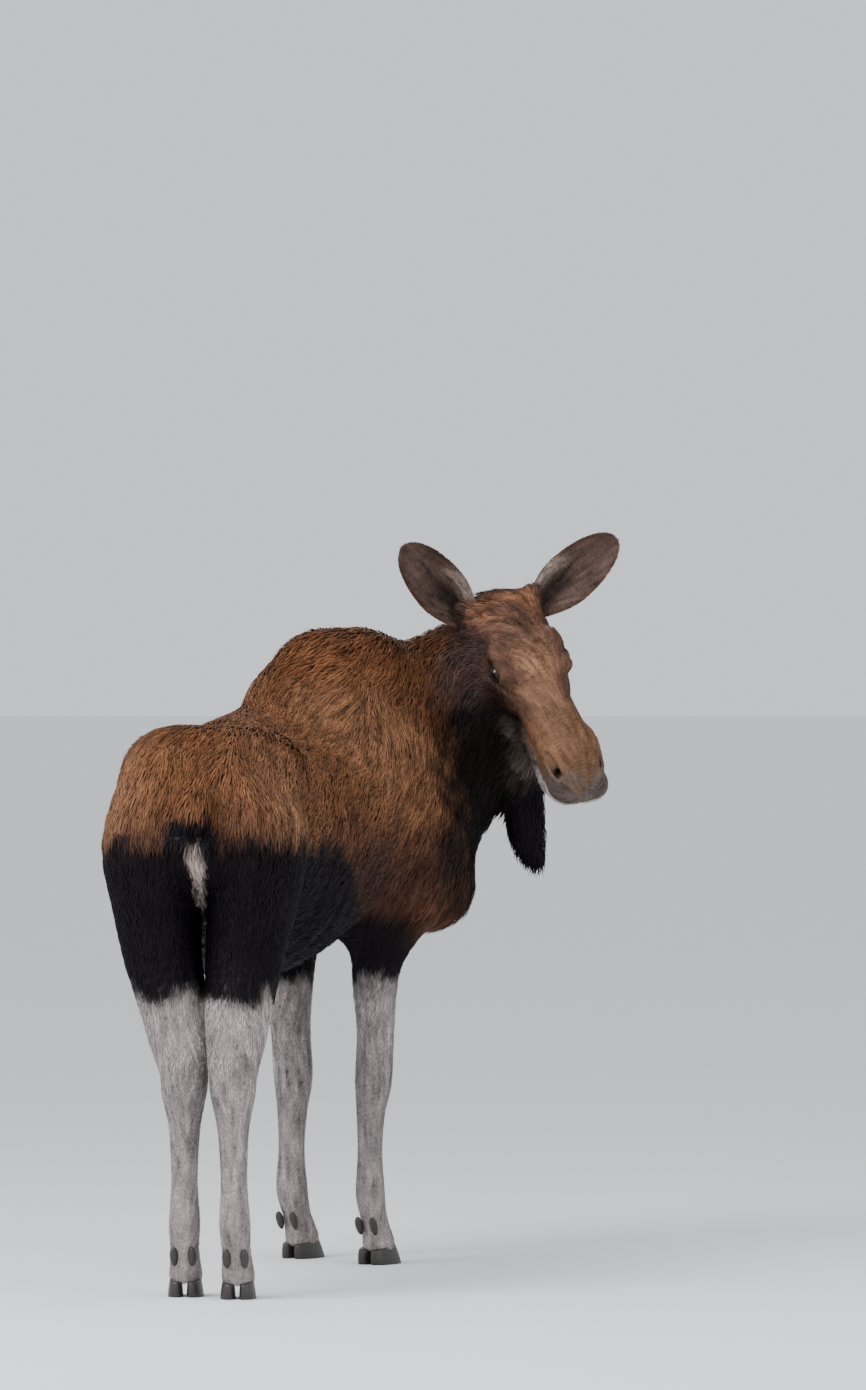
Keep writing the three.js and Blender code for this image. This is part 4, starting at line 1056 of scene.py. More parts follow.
@dataclass
class Mesher:
    """Meshes the zero surface of a distance field inside a box, with one vertex in each cell it crosses."""

    low: tuple[float, float, float]
    high: tuple[float, float, float]
    cell: float
    block: int = 4
    safety: float = 1.7
    chunk: int = 12_000

    def sample(self, distance: Field, p: Array) -> Array:
        """The field at many points, a few chunks at a time."""
        chunks = [p[i : i + self.chunk] for i in range(0, len(p), self.chunk)]
        with ThreadPoolExecutor(4) as pool:
            return np.concatenate(list(pool.map(distance, chunks)))

    def grid(self, distance: Field) -> Array:
        """The field's values on the grid, worked out only near the surface."""
        low, cell, block = np.array(self.low), self.cell, self.block
        blocks = np.ceil((np.array(self.high) - low) / (cell * block)).astype(int)
        middles = np.argwhere(np.ones(blocks, bool))
        far = self.sample(distance, low + (middles * block + (block - 1) / 2) * cell)
        reach = self.safety * cell * block * math.sqrt(3) / 2
        value = np.sign(far).astype(np.float32).reshape(blocks)
        for axis in range(3):
            value = np.repeat(value, block, axis=axis)
        near = middles[np.abs(far) < reach] * block
        inside = np.argwhere(np.ones((block,) * 3, bool))
        at = (near[:, None] + inside).reshape(-1, 3)
        value[at[:, 0], at[:, 1], at[:, 2]] = self.sample(distance, low + at * cell)
        value[[0, -1]] = value[:, [0, -1]] = value[:, :, [0, -1]] = 1.0
        return value

    def mesh(self, distance: Field) -> tuple[Array, Array]:
        """Meshes the field.

        Args:
            distance: The field, negative inside.

        Returns:
            The points, and the faces as rows of four.
        """
        value = self.grid(distance)
        inner = value < 0
        some = np.zeros(np.array(value.shape) - 1, bool)
        every = np.ones_like(some)
        size = value.shape
        for i, j, k in itertools.product((0, 1), repeat=3):
            corner = inner[i : size[0] - 1 + i, j : size[1] - 1 + j, k : size[2] - 1 + k]
            some |= corner
            every &= corner
        cells = np.argwhere(some & ~every)
        number = np.full(some.shape, -1, np.int32)
        number[tuple(cells.T)] = np.arange(len(cells))
        total, crossings = np.zeros((len(cells), 3)), np.zeros(len(cells))
        for axis, u, w in itertools.product(range(3), (0, 1), (0, 1)):
            others = [n for n in range(3) if n != axis]
            start = cells.copy()
            start[:, others] += [u, w]
            end = start.copy()
            end[:, axis] += 1
            a, b = value[tuple(start.T)].astype(float), value[tuple(end.T)].astype(float)
            cut = (a < 0) != (b < 0)
            place = start.astype(float)
            place[:, axis] += np.where(cut, a / np.where(cut, a - b, 1), 0)
            total[cut] += place[cut]
            crossings += cut
        middle = np.array(self.low) + total / crossings[:, None] * self.cell
        return self.settle(distance, middle), self.quads(inner, number)

    def settle(self, distance: Field, start: Array) -> Array:
        """Moves points onto the surface, but no further than their cell allows."""
        step = downhill(slope_of(lambda p: self.sample(distance, p), start, 0.0015))
        p = start
        for _ in range(2):
            p = p - self.sample(distance, p)[:, None] * step
        return np.clip(p, start - self.cell / 2, start + self.cell / 2)

    @staticmethod
    def quads(inner: Array, number: Array) -> Array:
        """The faces, one for each grid edge that the surface cuts."""
        made = []
        for axis in range(3):
            u, w = [n for n in range(3) if n != axis]
            ahead = np.take(inner, range(1, inner.shape[axis]), axis=axis)
            here = np.take(inner, range(inner.shape[axis] - 1), axis=axis)
            edges = np.argwhere(ahead != here)
            for n in (u, w):
                edges = edges[(edges[:, n] > 0) & (edges[:, n] < inner.shape[n] - 1)]
            quad = []
            for around in ((1, 1), (0, 1), (0, 0), (1, 0)):
                cell = edges.copy()
                cell[:, [u, w]] -= around
                quad.append(number[tuple(cell.T)])
            quad = np.stack(quad, axis=1)
            outward = here[tuple(edges.T)] ^ (axis == 1)
            quad[~outward] = quad[~outward][:, ::-1]
            made.append(quad)
        return np.concatenate(made)


# ------------------------------------------------------------------ the skin


@dataclass
class Hide:
    """Skin as points and triangles, with what grows at each point."""

    points: Array
    triangles: Array
    normals: Array
    colour: Array
    length: Array
    depth: Array
    lie: Array
    chart: Array
    unwrap: Array
    growth: Array

    @staticmethod
    def join(hides: Sequence[Hide]) -> Hide:
        """Several hides as one."""
        starts = np.cumsum([0] + [len(h.points) for h in hides[:-1]])
        triangles = np.concatenate([h.triangles + start for h, start in zip(hides, starts)])
        names = ("points", "normals", "colour", "length", "depth", "lie", "chart", "unwrap", "growth")
        rest = {name: np.concatenate([getattr(h, name) for h in hides]) for name in names}
        return Hide(triangles=triangles, **rest)


class Chart(Enum):
    """The pieces that the coat is made in, each unwrapped in its own way."""

    RUMP = "coat_rump"
    BARREL = "coat_barrel"
    CHEST = "coat_chest"
    NECK = "coat_neck"
    HEAD = "coat_head"
    FACE = "coat_face"
    HIND_LEGS = "coat_hind_legs"
    FORELEGS = "coat_forelegs"
    EARS = "coat_ears"


@dataclass
class Eye:
    """One eyeball, how it is turned, and how far its lids are open."""

    side: int
    radius: float = 0.021
    nose: float = 0.205
    crown: float = -0.040
    cheek: float = 0.101
    half_wide: float = math.radians(56)
    half_high: float = math.radians(33)

    @property
    def centre(self) -> Array:
        """Its middle in head space."""
        return np.array([self.nose, self.crown, self.cheek * self.side])

    @property
    def axes(self) -> Array:
        """The way it looks, the way its lids' slit runs forward, and up, as rows in head space."""
        gaze, forward = unit(np.array([0.60, 0.60, self.side])), np.array([1.0, -0.30, 0.0])
        slit = unit(forward - gaze * (gaze @ forward))
        rise = np.cross(gaze, slit)
        return np.stack([gaze, slit, rise if rise[1] > 0 else -rise])

    def around(self, turn: Array, lean: Array) -> Array:
        """Unit vectors that lean away from the gaze.

        Args:
            turn: The way they lean, from the front corner of the lids upward.
            lean: By how much.

        Returns:
            The vectors in head space.
        """
        gaze, slit, rise = self.axes
        out = np.cos(turn)[..., None] * slit + np.sin(turn)[..., None] * rise
        return np.cos(lean)[..., None] * gaze + np.sin(lean)[..., None] * out


EYES = (Eye(1), Eye(-1))


@dataclass
class Ear:
    """One ear: a leaf-shaped shell, cupped toward its opening and widest below its middle."""

    side: int
    base: tuple[float, float, float]
    axis: tuple[float, float, float]
    opening: tuple[float, float, float]
    length: float = 0.298
    half_width: float = 0.073
    widest: float = 0.42
    thickness: float = 0.0055
    rows: int = 44
    columns: int = 26

    @property
    def frame(self) -> Array:
        """The ear's own directions in head space: along it, across it, and out of its opening."""
        along = unit(np.array(self.axis))
        across = unit(np.cross(self.opening, along))
        return np.stack([along, across, np.cross(along, across)])

    def width(self, t: Array) -> Array:
        """The half width, from the base (0) to the tip (1)."""
        rise = 0.5 + 0.5 * np.sin(np.clip(t / self.widest, 0, 1) * math.pi / 2)
        fall = np.sqrt(np.clip(1 - ((t - self.widest) / (1 - self.widest)) ** 2, 0, 1))
        return self.half_width * np.where(t < self.widest, rise, fall)

    def surface(self, t: Array, x: Array, face: float) -> Array:
        """Points of the shell in head space.

        Args:
            t: From the base (0) to the tip (1).
            x: From one edge (-1) to the other (1).
            face: 1 for the inside of the cup, -1 for its back.

        Returns:
            The points.
        """
        along, across, front = self.frame
        wide = self.width(t)
        cup = wide * mix(0.95, 0.3, np.clip(t * 1.6, 0, 1))
        shift = -0.020 * t * (1 - t) + cup * (x * x - 1)
        thick = face * self.thickness / 2 * np.sqrt(np.clip(1.02 - x**4, 0, 1))
        crease = 0.0016 * np.sin(x * 17 + 2 * t) * smooth(t, 0.75, 0.2) * (face > 0)
        middle = np.array(self.base) + along * (self.length * t)[..., None]
        return middle + across * (wide * x)[..., None] + front * (shift + thick + crease)[..., None]

    def hide(self) -> Hide:
        """The shell as a hide, with its hair."""
        t = (np.linspace(0, 1, self.rows) ** 0.85 * 0.99)[:, None]
        x = np.sin(np.linspace(-1, 1, self.columns) * math.pi / 2)[None, :]
        t, x = np.broadcast_arrays(t, x)
        count = self.rows * self.columns
        sheets, faces = [], []
        corner = np.arange(count).reshape(self.rows, self.columns)
        quad = np.stack([corner[:-1, :-1], corner[:-1, 1:], corner[1:, 1:], corner[1:, :-1]], axis=-1)
        quad = quad.reshape(-1, 4)
        for number, face in enumerate((1, -1)):
            sheets.append(self.surface(t, x, face).reshape(-1, 3))
            faces.append((quad if face > 0 else quad[:, ::-1]) + number * count)
        edge = np.concatenate([corner[:, 0], corner[-1, 1:], corner[-2::-1, -1], corner[0, -2:0:-1]])
        after = np.roll(edge, -1)
        faces.append(np.stack([edge, after, after + count, edge + count], axis=1))
        points = POSTURE.head_point(np.concatenate(sheets))
        triangles = turned_out(points, halves(np.concatenate(faces)))
        t, x = np.tile(t.ravel(), 2), np.tile(x.ravel(), 2)
        inside = np.repeat([1.0, 0.0], count)
        return self.grown(points, triangles, t, x, inside)

    def grown(self, points: Array, triangles: Array, t: Array, x: Array, inside: Array) -> Hide:
        """Adds the hair to the shell.

        Args:
            points: The shell's points in the model.
            triangles: Its triangles.
            t: Where each point is from base to tip.
            x: Where it is from edge to edge.
            inside: 1 in the cup and 0 on its back.

        Returns:
            The hide.
        """
        axes = POSTURE.head_axes
        along, across, front = (v @ axes for v in self.frame)
        inner_edge = -self.side * np.sign(across @ axes[2])
        medial = smooth(x * inner_edge, 0.25, 0.85)
        pale = inside * medial * smooth(t, 0.02, 0.12) * smooth(t, 0.60, 0.35)
        rim = smooth(np.abs(x), 0.80, 0.97)
        out_colour = mix(EAR_OUT, FACE_BROWN, 0.5 * smooth(t, 0.4, 0.1))
        in_colour = mix(EAR_IN, BARE_DARK, 0.75 * smooth(np.abs(x), 0.55, 0.15) * smooth(t, 0.55, 0.25))
        colour = mix(out_colour, in_colour, inside)
        streak = 0.5 + 0.5 * TONE(points, 0.007)
        colour = mix(colour, EAR_PALE, pale * (0.35 + 0.65 * streak))
        colour = mix(colour, EAR_OUT * 0.8, rim * (1 - pale))
        length = 0.0095 + 0.012 * pale
        across_in = -np.sign(x)[:, None] * across
        lie = along + inside[:, None] * (0.7 * front + 0.9 * medial[:, None] * across_in)
        lie = lie + rim[:, None] * (0.15 * np.sign(x)[:, None] * across)
        tone = 1 + 0.15 * TONE(points, 0.02)
        column = (self.side < 0) * 2 + inside
        unwrap = np.stack([(column + 0.06 + 0.88 * (x + 1) / 2) / 4, 0.03 + 0.94 * t], axis=1)
        return Hide(
            points=points,
            triangles=triangles,
            normals=point_normals(points, triangles),
            colour=colour * tone[:, None],
            length=length,
            depth=0.0024 + 0.003 * pale,
            lie=unit(lie),
            chart=np.full(len(points), list(Chart).index(Chart.EARS)),
            unwrap=unwrap,
            growth=np.where(t > 0.04, 0.45, 0.0),
        )


EARS = (
    Ear(1, base=(0.010, -0.054, 0.102), axis=(-0.620, 0.585, 0.523), opening=(0.46, 0.81, 0.37)),
    Ear(-1, base=(0.024, -0.050, -0.102), axis=(-0.229, 0.507, -0.831), opening=(0.54, 0.78, 0.30)),
)


@dataclass
class Face:
    """What the skin of the head has beyond its plain form: eye sockets, nostrils, lips and folds."""

    mouth_start: float = 0.392
    slit_depth: float = 0.016
    socket: float = 0.0200
    nostrils: list[Sweep] = field(default_factory=lambda: Face.hollows())

    @staticmethod
    def hollows() -> list[Sweep]:
        """The comma of each nostril, and the hole that leads inward from its lower end."""
        up, made = (0, 1, 0), []
        for side in (1, -1):
            comma = [
                (574, -92, 44 * side + 2, 8, 9, 9),
                (557, -67, 56 * side + 2, 13, 14, 14),
                (533, -49, 69 * side + 2, 12, 12, 12),
                (501, -38, 76 * side + 2, 7, 7, 7),
            ]
            hole = [(556, -68, 54 * side + 2, 13, 14, 14), (522, -84, 40 * side + 2, 9, 10, 10)]
            made += [Sweep(comma, up, 10), Sweep(hole, up, 10)]
        return made

    def mouth(self, q: Array, away: Array) -> Array:
        """The distance from the slit between the lips, by the point in head space and its depth."""
        nose, crown, cheek = q.T
        half = 0.0012 + 0.0024 * smooth(nose, self.mouth_start, self.mouth_start + 0.06)
        slab = np.abs(crown - lip_level(nose)) - half
        inner = 0.05 * (1 - np.hypot(cheek / 0.052, (nose - 0.400) / 0.135))
        slab = np.maximum(np.maximum(slab, inner), self.mouth_start - nose)
        return np.maximum(slab, -(away + self.slit_depth))

    def nostril(self, q: Array) -> Array:
        """The distance from the hollows of the nostrils."""
        return blended(self.nostrils, q)

    def shape(self, q: Array, plain: Array) -> Array:
        """Works the details into the distance from the plain head.

        Args:
            q: Points in head space.
            plain: Their distances from the plain skin.

        Returns:
            The distances from the detailed skin.
        """
        d = plain.copy()
        near = np.flatnonzero((np.abs(plain) < 0.05) & (q[:, 0] > 0.05))
        q, e = q[near], plain[near]
        nose, crown, cheek = q.T
        e = self.sockets(q, e)
        lip = crown - lip_level(nose)
        front = smooth(nose, 0.43, 0.50)
        e = e - 0.0030 * swell(lip, 0.011, 0.010) * front
        e = e - 0.0026 * swell(lip, -0.012, 0.008) * front
        e = e + 0.0035 * swell(lip, -0.034, 0.012) * front
        e = carved(e, self.mouth(q, e), 0.005)
        hollow = self.nostril(q)
        e = e - 0.0032 * swell(hollow, 0.006, 0.006)
        e = carved(e, hollow, 0.007)
        tip = smooth(nose, 0.535, 0.570)
        groove = np.abs(cheek) + (1 - tip)
        e = e + 0.0030 * swell(groove, 0.0, 0.0055) * smooth(crown, -0.07, -0.10)
        wrinkle = np.sin((nose - 0.3 * crown) * 260 + 2 * WOBBLE(q, 0.03))
        folds = smooth(nose, 0.43, 0.47) * smooth(nose, 0.56, 0.52) * smooth(crown, -0.03, -0.09)
        e = e + 0.0007 * wrinkle * folds
        d[near] = e
        return d

    def sockets(self, q: Array, e: Array) -> Array:
        """Works in the eyes' surroundings: the mound of the lids, the tear pit and the temple."""
        for eye in EYES:
            away = q - eye.centre
            from_eye = np.linalg.norm(away, axis=1)
            ring = swell(from_eye, 0.031, 0.007)
            e = e + 0.0030 * ring
            e = soft_min(e, from_eye - self.socket, 0.008)
            pit = np.linalg.norm(away - [0.046, -0.014, -0.004 * eye.side], axis=1) - 0.010
            e = carved(e, pit + 0.002, 0.016)
            temple = np.linalg.norm(away - [-0.085, 0.020, 0.012 * eye.side], axis=1) - 0.030
            e = carved(e, temple + 0.010, 0.030)
            fold = np.abs(from_eye - 0.0275 - 0.002 * np.sin(away[:, 0] * 60))
            e = e + 0.0010 * swell(fold, 0.0, 0.0016) * smooth(away[:, 1], -0.002, 0.010)
        return e


@dataclass
class Skin:
    """The one skin that the coat grows on, with the ears and the eyelids."""

    nodes: tuple[str, ...]
    lid_corners: int = 64
    body_cell: float = 0.0125
    head_cell: float = 0.0046
    overlap: float = 0.014
    inset: float = 0.0012
    offset: Array = field(default_factory=lambda: np.zeros(3))
    face: Face = field(default_factory=Face)

    def parting(self, p: Array) -> Array:
        """How far points are to the head's side of the parting between head and neck."""
        facing = unit(np.array([-0.08, 0.78, -0.62]) @ POSTURE.head_axes)
        return (p - POSTURE.head_point(np.array([0.110, -0.225, 0.095]))) @ facing

    def body_field(self, p: Array) -> Array:
        """The skin of everything but the head."""
        at = FLESH.places(p)
        skin = at.surface + Pelt.depth(at)
        along, _, up = at.body.T
        sole = np.full(len(p), -FAR)
        for leg in LEGS:
            own = at.apart[:, leg.part.value] < 0.02
            level = 0.041 + 0.10 * (along - (leg.foot + 40) * MM)
            sole = np.where(own, level - up, sole)
        return np.maximum(np.maximum(skin, sole), self.parting(p))

    def head_field(self, q: Array) -> Array:
        """The skin of the head, by points in head space."""
        p = POSTURE.head_point(q)
        at = FLESH.places(p)
        skin = self.face.shape(q, at.surface + Pelt.depth(at))
        behind = self.parting(p)
        skin = skin + self.inset * smooth(behind, 0.002, -0.002)
        return np.maximum(skin, -(behind + self.overlap))

    def shells(self) -> tuple[Array, Array]:
        """The body's and the head's shells, joined into one closed surface."""
        body = Mesher((-0.80, -2.05, -0.03), (0.50, 0.14, 1.86), self.body_cell)
        points, quads = body.mesh(self.body_field)
        LOG.info("body skin: %d faces", len(quads))
        trunk = mesh_object("trunk_shell", points, turned_out(points, quads))
        head = Mesher((-0.20, -0.36, -0.22), (0.66, 0.08, 0.26), self.head_cell)
        points, quads = head.mesh(self.head_field)
        LOG.info("head skin: %d faces", len(quads))
        points = POSTURE.head_point(points)
        skull = mesh_object("head_shell", points, turned_out(points, quads))
        join = trunk.modifiers.new("join", "BOOLEAN")
        join.operation = "UNION"
        join.solver = "MANIFOLD"
        join.object = skull
        evaluated = trunk.evaluated_get(bpy.context.evaluated_depsgraph_get())
        mesh = bpy.data.meshes.new_from_object(evaluated)
        found = triangles_of(mesh)
        bpy.data.meshes.remove(mesh)
        for shell in (trunk, skull):
            old = shell.data
            bpy.data.objects.remove(shell)
            bpy.data.meshes.remove(old)
        return found

    def grow(self) -> Hide:
        """Builds the skin and plans its hair."""
        points, triangles = self.shells()
        normals = point_normals(points, triangles)
        at = FLESH.places(points)
        chart, unwrap = Unwrap().charts(at)
        shell = Hide(
            points=points,
            triangles=triangles,
            normals=normals,
            colour=Pelt.colour(at),
            length=Pelt.length(at),
            depth=Pelt.depth(at),
            lie=Pelt.lie(at),
            chart=chart,
            unwrap=unwrap,
            growth=self.growth(at),
        )
        hide = Hide.join([shell, *(ear.hide() for ear in EARS)])
        LOG.info("skin: %d triangles", len(hide.triangles))
        return hide

    def growth(self, at: Places) -> Array:
        """How thickly the hair grows, from none (0) to full (1)."""
        grown = np.ones(len(at.p))
        head = at.apart[:, Part.HEAD.value] < 0.03
        for eye in EYES:
            away = np.linalg.norm(at.head - eye.centre, axis=1)
            grown = np.where(head, grown * smooth(away, 0.0235, 0.028), grown)
        hollow = self.face.nostril(at.head)
        grown = np.where(head, grown * smooth(hollow, 0.000, 0.004), grown)
        nose, crown, _ = at.head.T
        mouth = np.abs(crown - lip_level(nose))
        shut = smooth(mouth, 0.002, 0.005)
        grown = np.where(head & (nose > self.face.mouth_start), grown * shut, grown)
        return np.where((at.body[:, 2] < 0.05) & ~head, 0.4, grown)

    def lids(self, eye: Eye) -> tuple[Array, Array]:
        """The lids of one eye, as a band from the rim of the slit to the skin around.

        Args:
            eye: The eye that they cover.

        Returns:
            The points in the model, and the faces.
        """
        count = self.lid_corners
        turn = np.linspace(0, 2 * math.pi, count, endpoint=False)
        slit = 1 / np.sqrt((np.cos(turn) / eye.half_wide) ** 2 + (np.sin(turn) / eye.half_high) ** 2)
        slit = slit * (1 - 0.10 * np.abs(np.sin(2 * turn)))
        upper = np.clip(np.sin(turn), 0, 1)
        rings = [(-0.0012, -0.02), (0.0010, 0.0), (0.0022, 0.05), (0.0028, 0.13), (0.0026, 0.24)]
        rings += [(0.0017, 0.36), (0.0024, 0.48), (0.0026, 0.62)]
        made = []
        for rise, wider in rings:
            lean = slit + wider
            height = eye.radius + rise + 0.0012 * upper * (wider > 0.4)
            made.append(eye.centre + eye.around(turn, lean) * height[:, None])
        last = made[-1]
        out = eye.around(turn, np.full(count, 1.75))
        for step, reach in enumerate((0.005, 0.010, 0.015)):
            made.append(self.onto_skin(last + out * reach, 0.0012 - 0.0012 * step))
        points = np.concatenate(made)
        quads = band_faces(len(made), count)
        return POSTURE.head_point(points), quads if eye.side > 0 else quads[:, ::-1]

    def onto_skin(self, q: Array, lift: float) -> Array:
        """Moves points of head space to a height over the head's skin."""
        for _ in range(3):
            step = downhill(slope_of(self.head_field, q, 0.001))
            q = q - (self.head_field(q) - lift)[:, None] * step
        return q

    def build(self, hide: Hide) -> bpy.types.Object:
        """Makes the mesh of a skin that has been grown."""
        under = table(hide.length, (0.007, 0.95), (0.016, 0.92), (0.035, 0.90))
        points, colours = [hide.points], [hide.colour * under[:, None]]
        faces: list[Array] = [hide.triangles]
        for eye in EYES:
            band, quads = self.lids(eye)
            faces.append(quads + sum(len(p) for p in points))
            points.append(band)
            rings = np.repeat(np.linspace(0, 1, len(band) // self.lid_corners), self.lid_corners)
            colours.append(mix(BARE_DARK * 0.7, CHEEK_DARK, smooth(rings, 0.2, 0.8)))
        everywhere = np.concatenate(points) + self.offset
        made = mesh_object("skin", everywhere, faces, np.concatenate(colours))
        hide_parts(*(name for name in self.nodes if not name.startswith(("eye", "hoof", "dewclaw"))))
        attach(made, "root")
        return made


class Unwrap:
    """Lays the skin out flat, chart by chart."""

    EDGE = 0.003
    RUMP_END = 0.46
    BARREL_END = 1.05
    FACE_START = 0.27
    LEG_TOP = 0.86

    def charts(self, at: Places) -> tuple[Array, Array]:
        """Sorts places on the skin into charts and lays each chart out.

        Args:
            at: Places on the skin.

        Returns:
            The number of each place's chart, and its two coordinates from 0 to 1.
        """
        order = list(Chart)
        own = at.apart.argmin(axis=1)
        along, _, up = at.body.T
        leg = (own >= Part.HIND_RIGHT.value) & (up < self.LEG_TOP)
        hind = own < Part.FORE_RIGHT.value
        trunk = np.where(along < self.RUMP_END, order.index(Chart.RUMP), order.index(Chart.BARREL))
        trunk = np.where(along > self.BARREL_END, order.index(Chart.CHEST), trunk)
        legs = np.where(hind, order.index(Chart.HIND_LEGS), order.index(Chart.FORELEGS))
        chart = np.where(leg, legs, trunk)
        chart = np.where((own == Part.NECK.value) | (own == Part.BELL.value), order.index(Chart.NECK), chart)
        front = np.where(at.head[:, 0] > self.FACE_START, order.index(Chart.FACE), order.index(Chart.HEAD))
        chart = np.where(own == Part.HEAD.value, front, chart)
        ways = {
            Chart.RUMP: self.rump,
            Chart.BARREL: self.barrel,
            Chart.CHEST: self.chest,
            Chart.NECK: self.neck,
            Chart.HEAD: self.head,
            Chart.FACE: self.face,
            Chart.HIND_LEGS: self.limbs,
            Chart.FORELEGS: self.limbs,
        }
        flat = np.zeros((len(at.p), 2))
        for kind, way in ways.items():
            here = chart == order.index(kind)
            flat[here] = way(at, own)[here]
        return chart, np.clip(flat, self.EDGE, 1 - self.EDGE)

    @staticmethod
    def turn(x: Array, y: Array) -> Array:
        """The direction of (x, y) as a number from 0 to 1."""
        return 0.5 + np.arctan2(x, y) / (2 * math.pi)

    def rump(self, at: Places, own: Array) -> Array:
        """Around the middle of the rump, from the tail's end forward. The tail has a corner of its own."""
        along, right, up = at.body.T
        lean = np.arctan2(np.hypot(right, up - 1.18), 0.40 - along) / math.pi
        whole = np.stack([self.turn(right, up - 1.18) * 0.9, lean], axis=1)
        tail = np.stack([0.93 + right * 0.5, 0.1 + (1.36 - up) * 2], axis=1)
        return np.where((own == Part.TAIL.value)[:, None], tail, whole)

    def barrel(self, at: Places, own: Array) -> Array:
        """Round the barrel and along it."""
        along, right, up = at.body.T
        return np.stack([self.turn(right, up - 1.20), (along - self.RUMP_END) / 0.60], axis=1)

    def chest(self, at: Places, own: Array) -> Array:
        """Round the chest and along it."""
        along, right, up = at.body.T
        return np.stack([self.turn(right, up - 1.25), (along - self.BARREL_END) / 0.95], axis=1)

    def neck(self, at: Places, own: Array) -> Array:
        """Round the neck and along it, and down the bell beside it."""
        axis = unit(np.array([-0.43, -0.30, 0.50]))
        side = unit(np.cross(axis, [0, 0, 1.0]))
        away = at.p - np.array([-0.27, -1.64, 1.42])
        around = self.turn(away @ side, away @ np.cross(side, axis))
        neck = np.stack([around * 0.8, (away @ axis + 0.40) / 0.90], axis=1)
        x, y, z = at.p.T
        bell = np.stack([0.83 + 0.14 * self.turn(x + 0.57, y + 1.795), (z - 1.08) / 0.5], axis=1)
        return np.where((own == Part.BELL.value)[:, None], bell, neck)

    def head(self, at: Places, own: Array) -> Array:
        """Round the head and along it."""
        nose, crown, cheek = at.head.T
        return np.stack([self.turn(cheek, crown + 0.09), (nose + 0.16) / 0.44], axis=1)

    def face(self, at: Places, own: Array) -> Array:
        """Round the face and along it, with the front of the muzzle spread out."""
        nose, crown, cheek = at.head.T
        out = np.hypot(crown + 0.11, cheek)
        spread = nose + 0.8 * np.maximum(0.085 - out, 0) * smooth(nose, 0.5, 0.54)
        return np.stack([self.turn(cheek, crown + 0.11), (spread - 0.26) / 0.46], axis=1)

    def limbs(self, at: Places, own: Array) -> Array:
        """Round each leg and down it, the right one first."""
        along, right, up = at.body.T
        flat = np.zeros((len(at.p), 2))
        for leg in LEGS:
            x, y, z = leg.middles().T
            fore, out = along - np.interp(up, z, x), right - np.interp(up, z, y)
            column = 0 if leg.side > 0 else 1
            here = own == leg.part.value
            flat[here, 0] = ((column + 0.03 + 0.94 * self.turn(out, fore)) / 2)[here]
            flat[here, 1] = (up / 0.88)[here]
        return flat


# ------------------------------------------------------------------ the coat


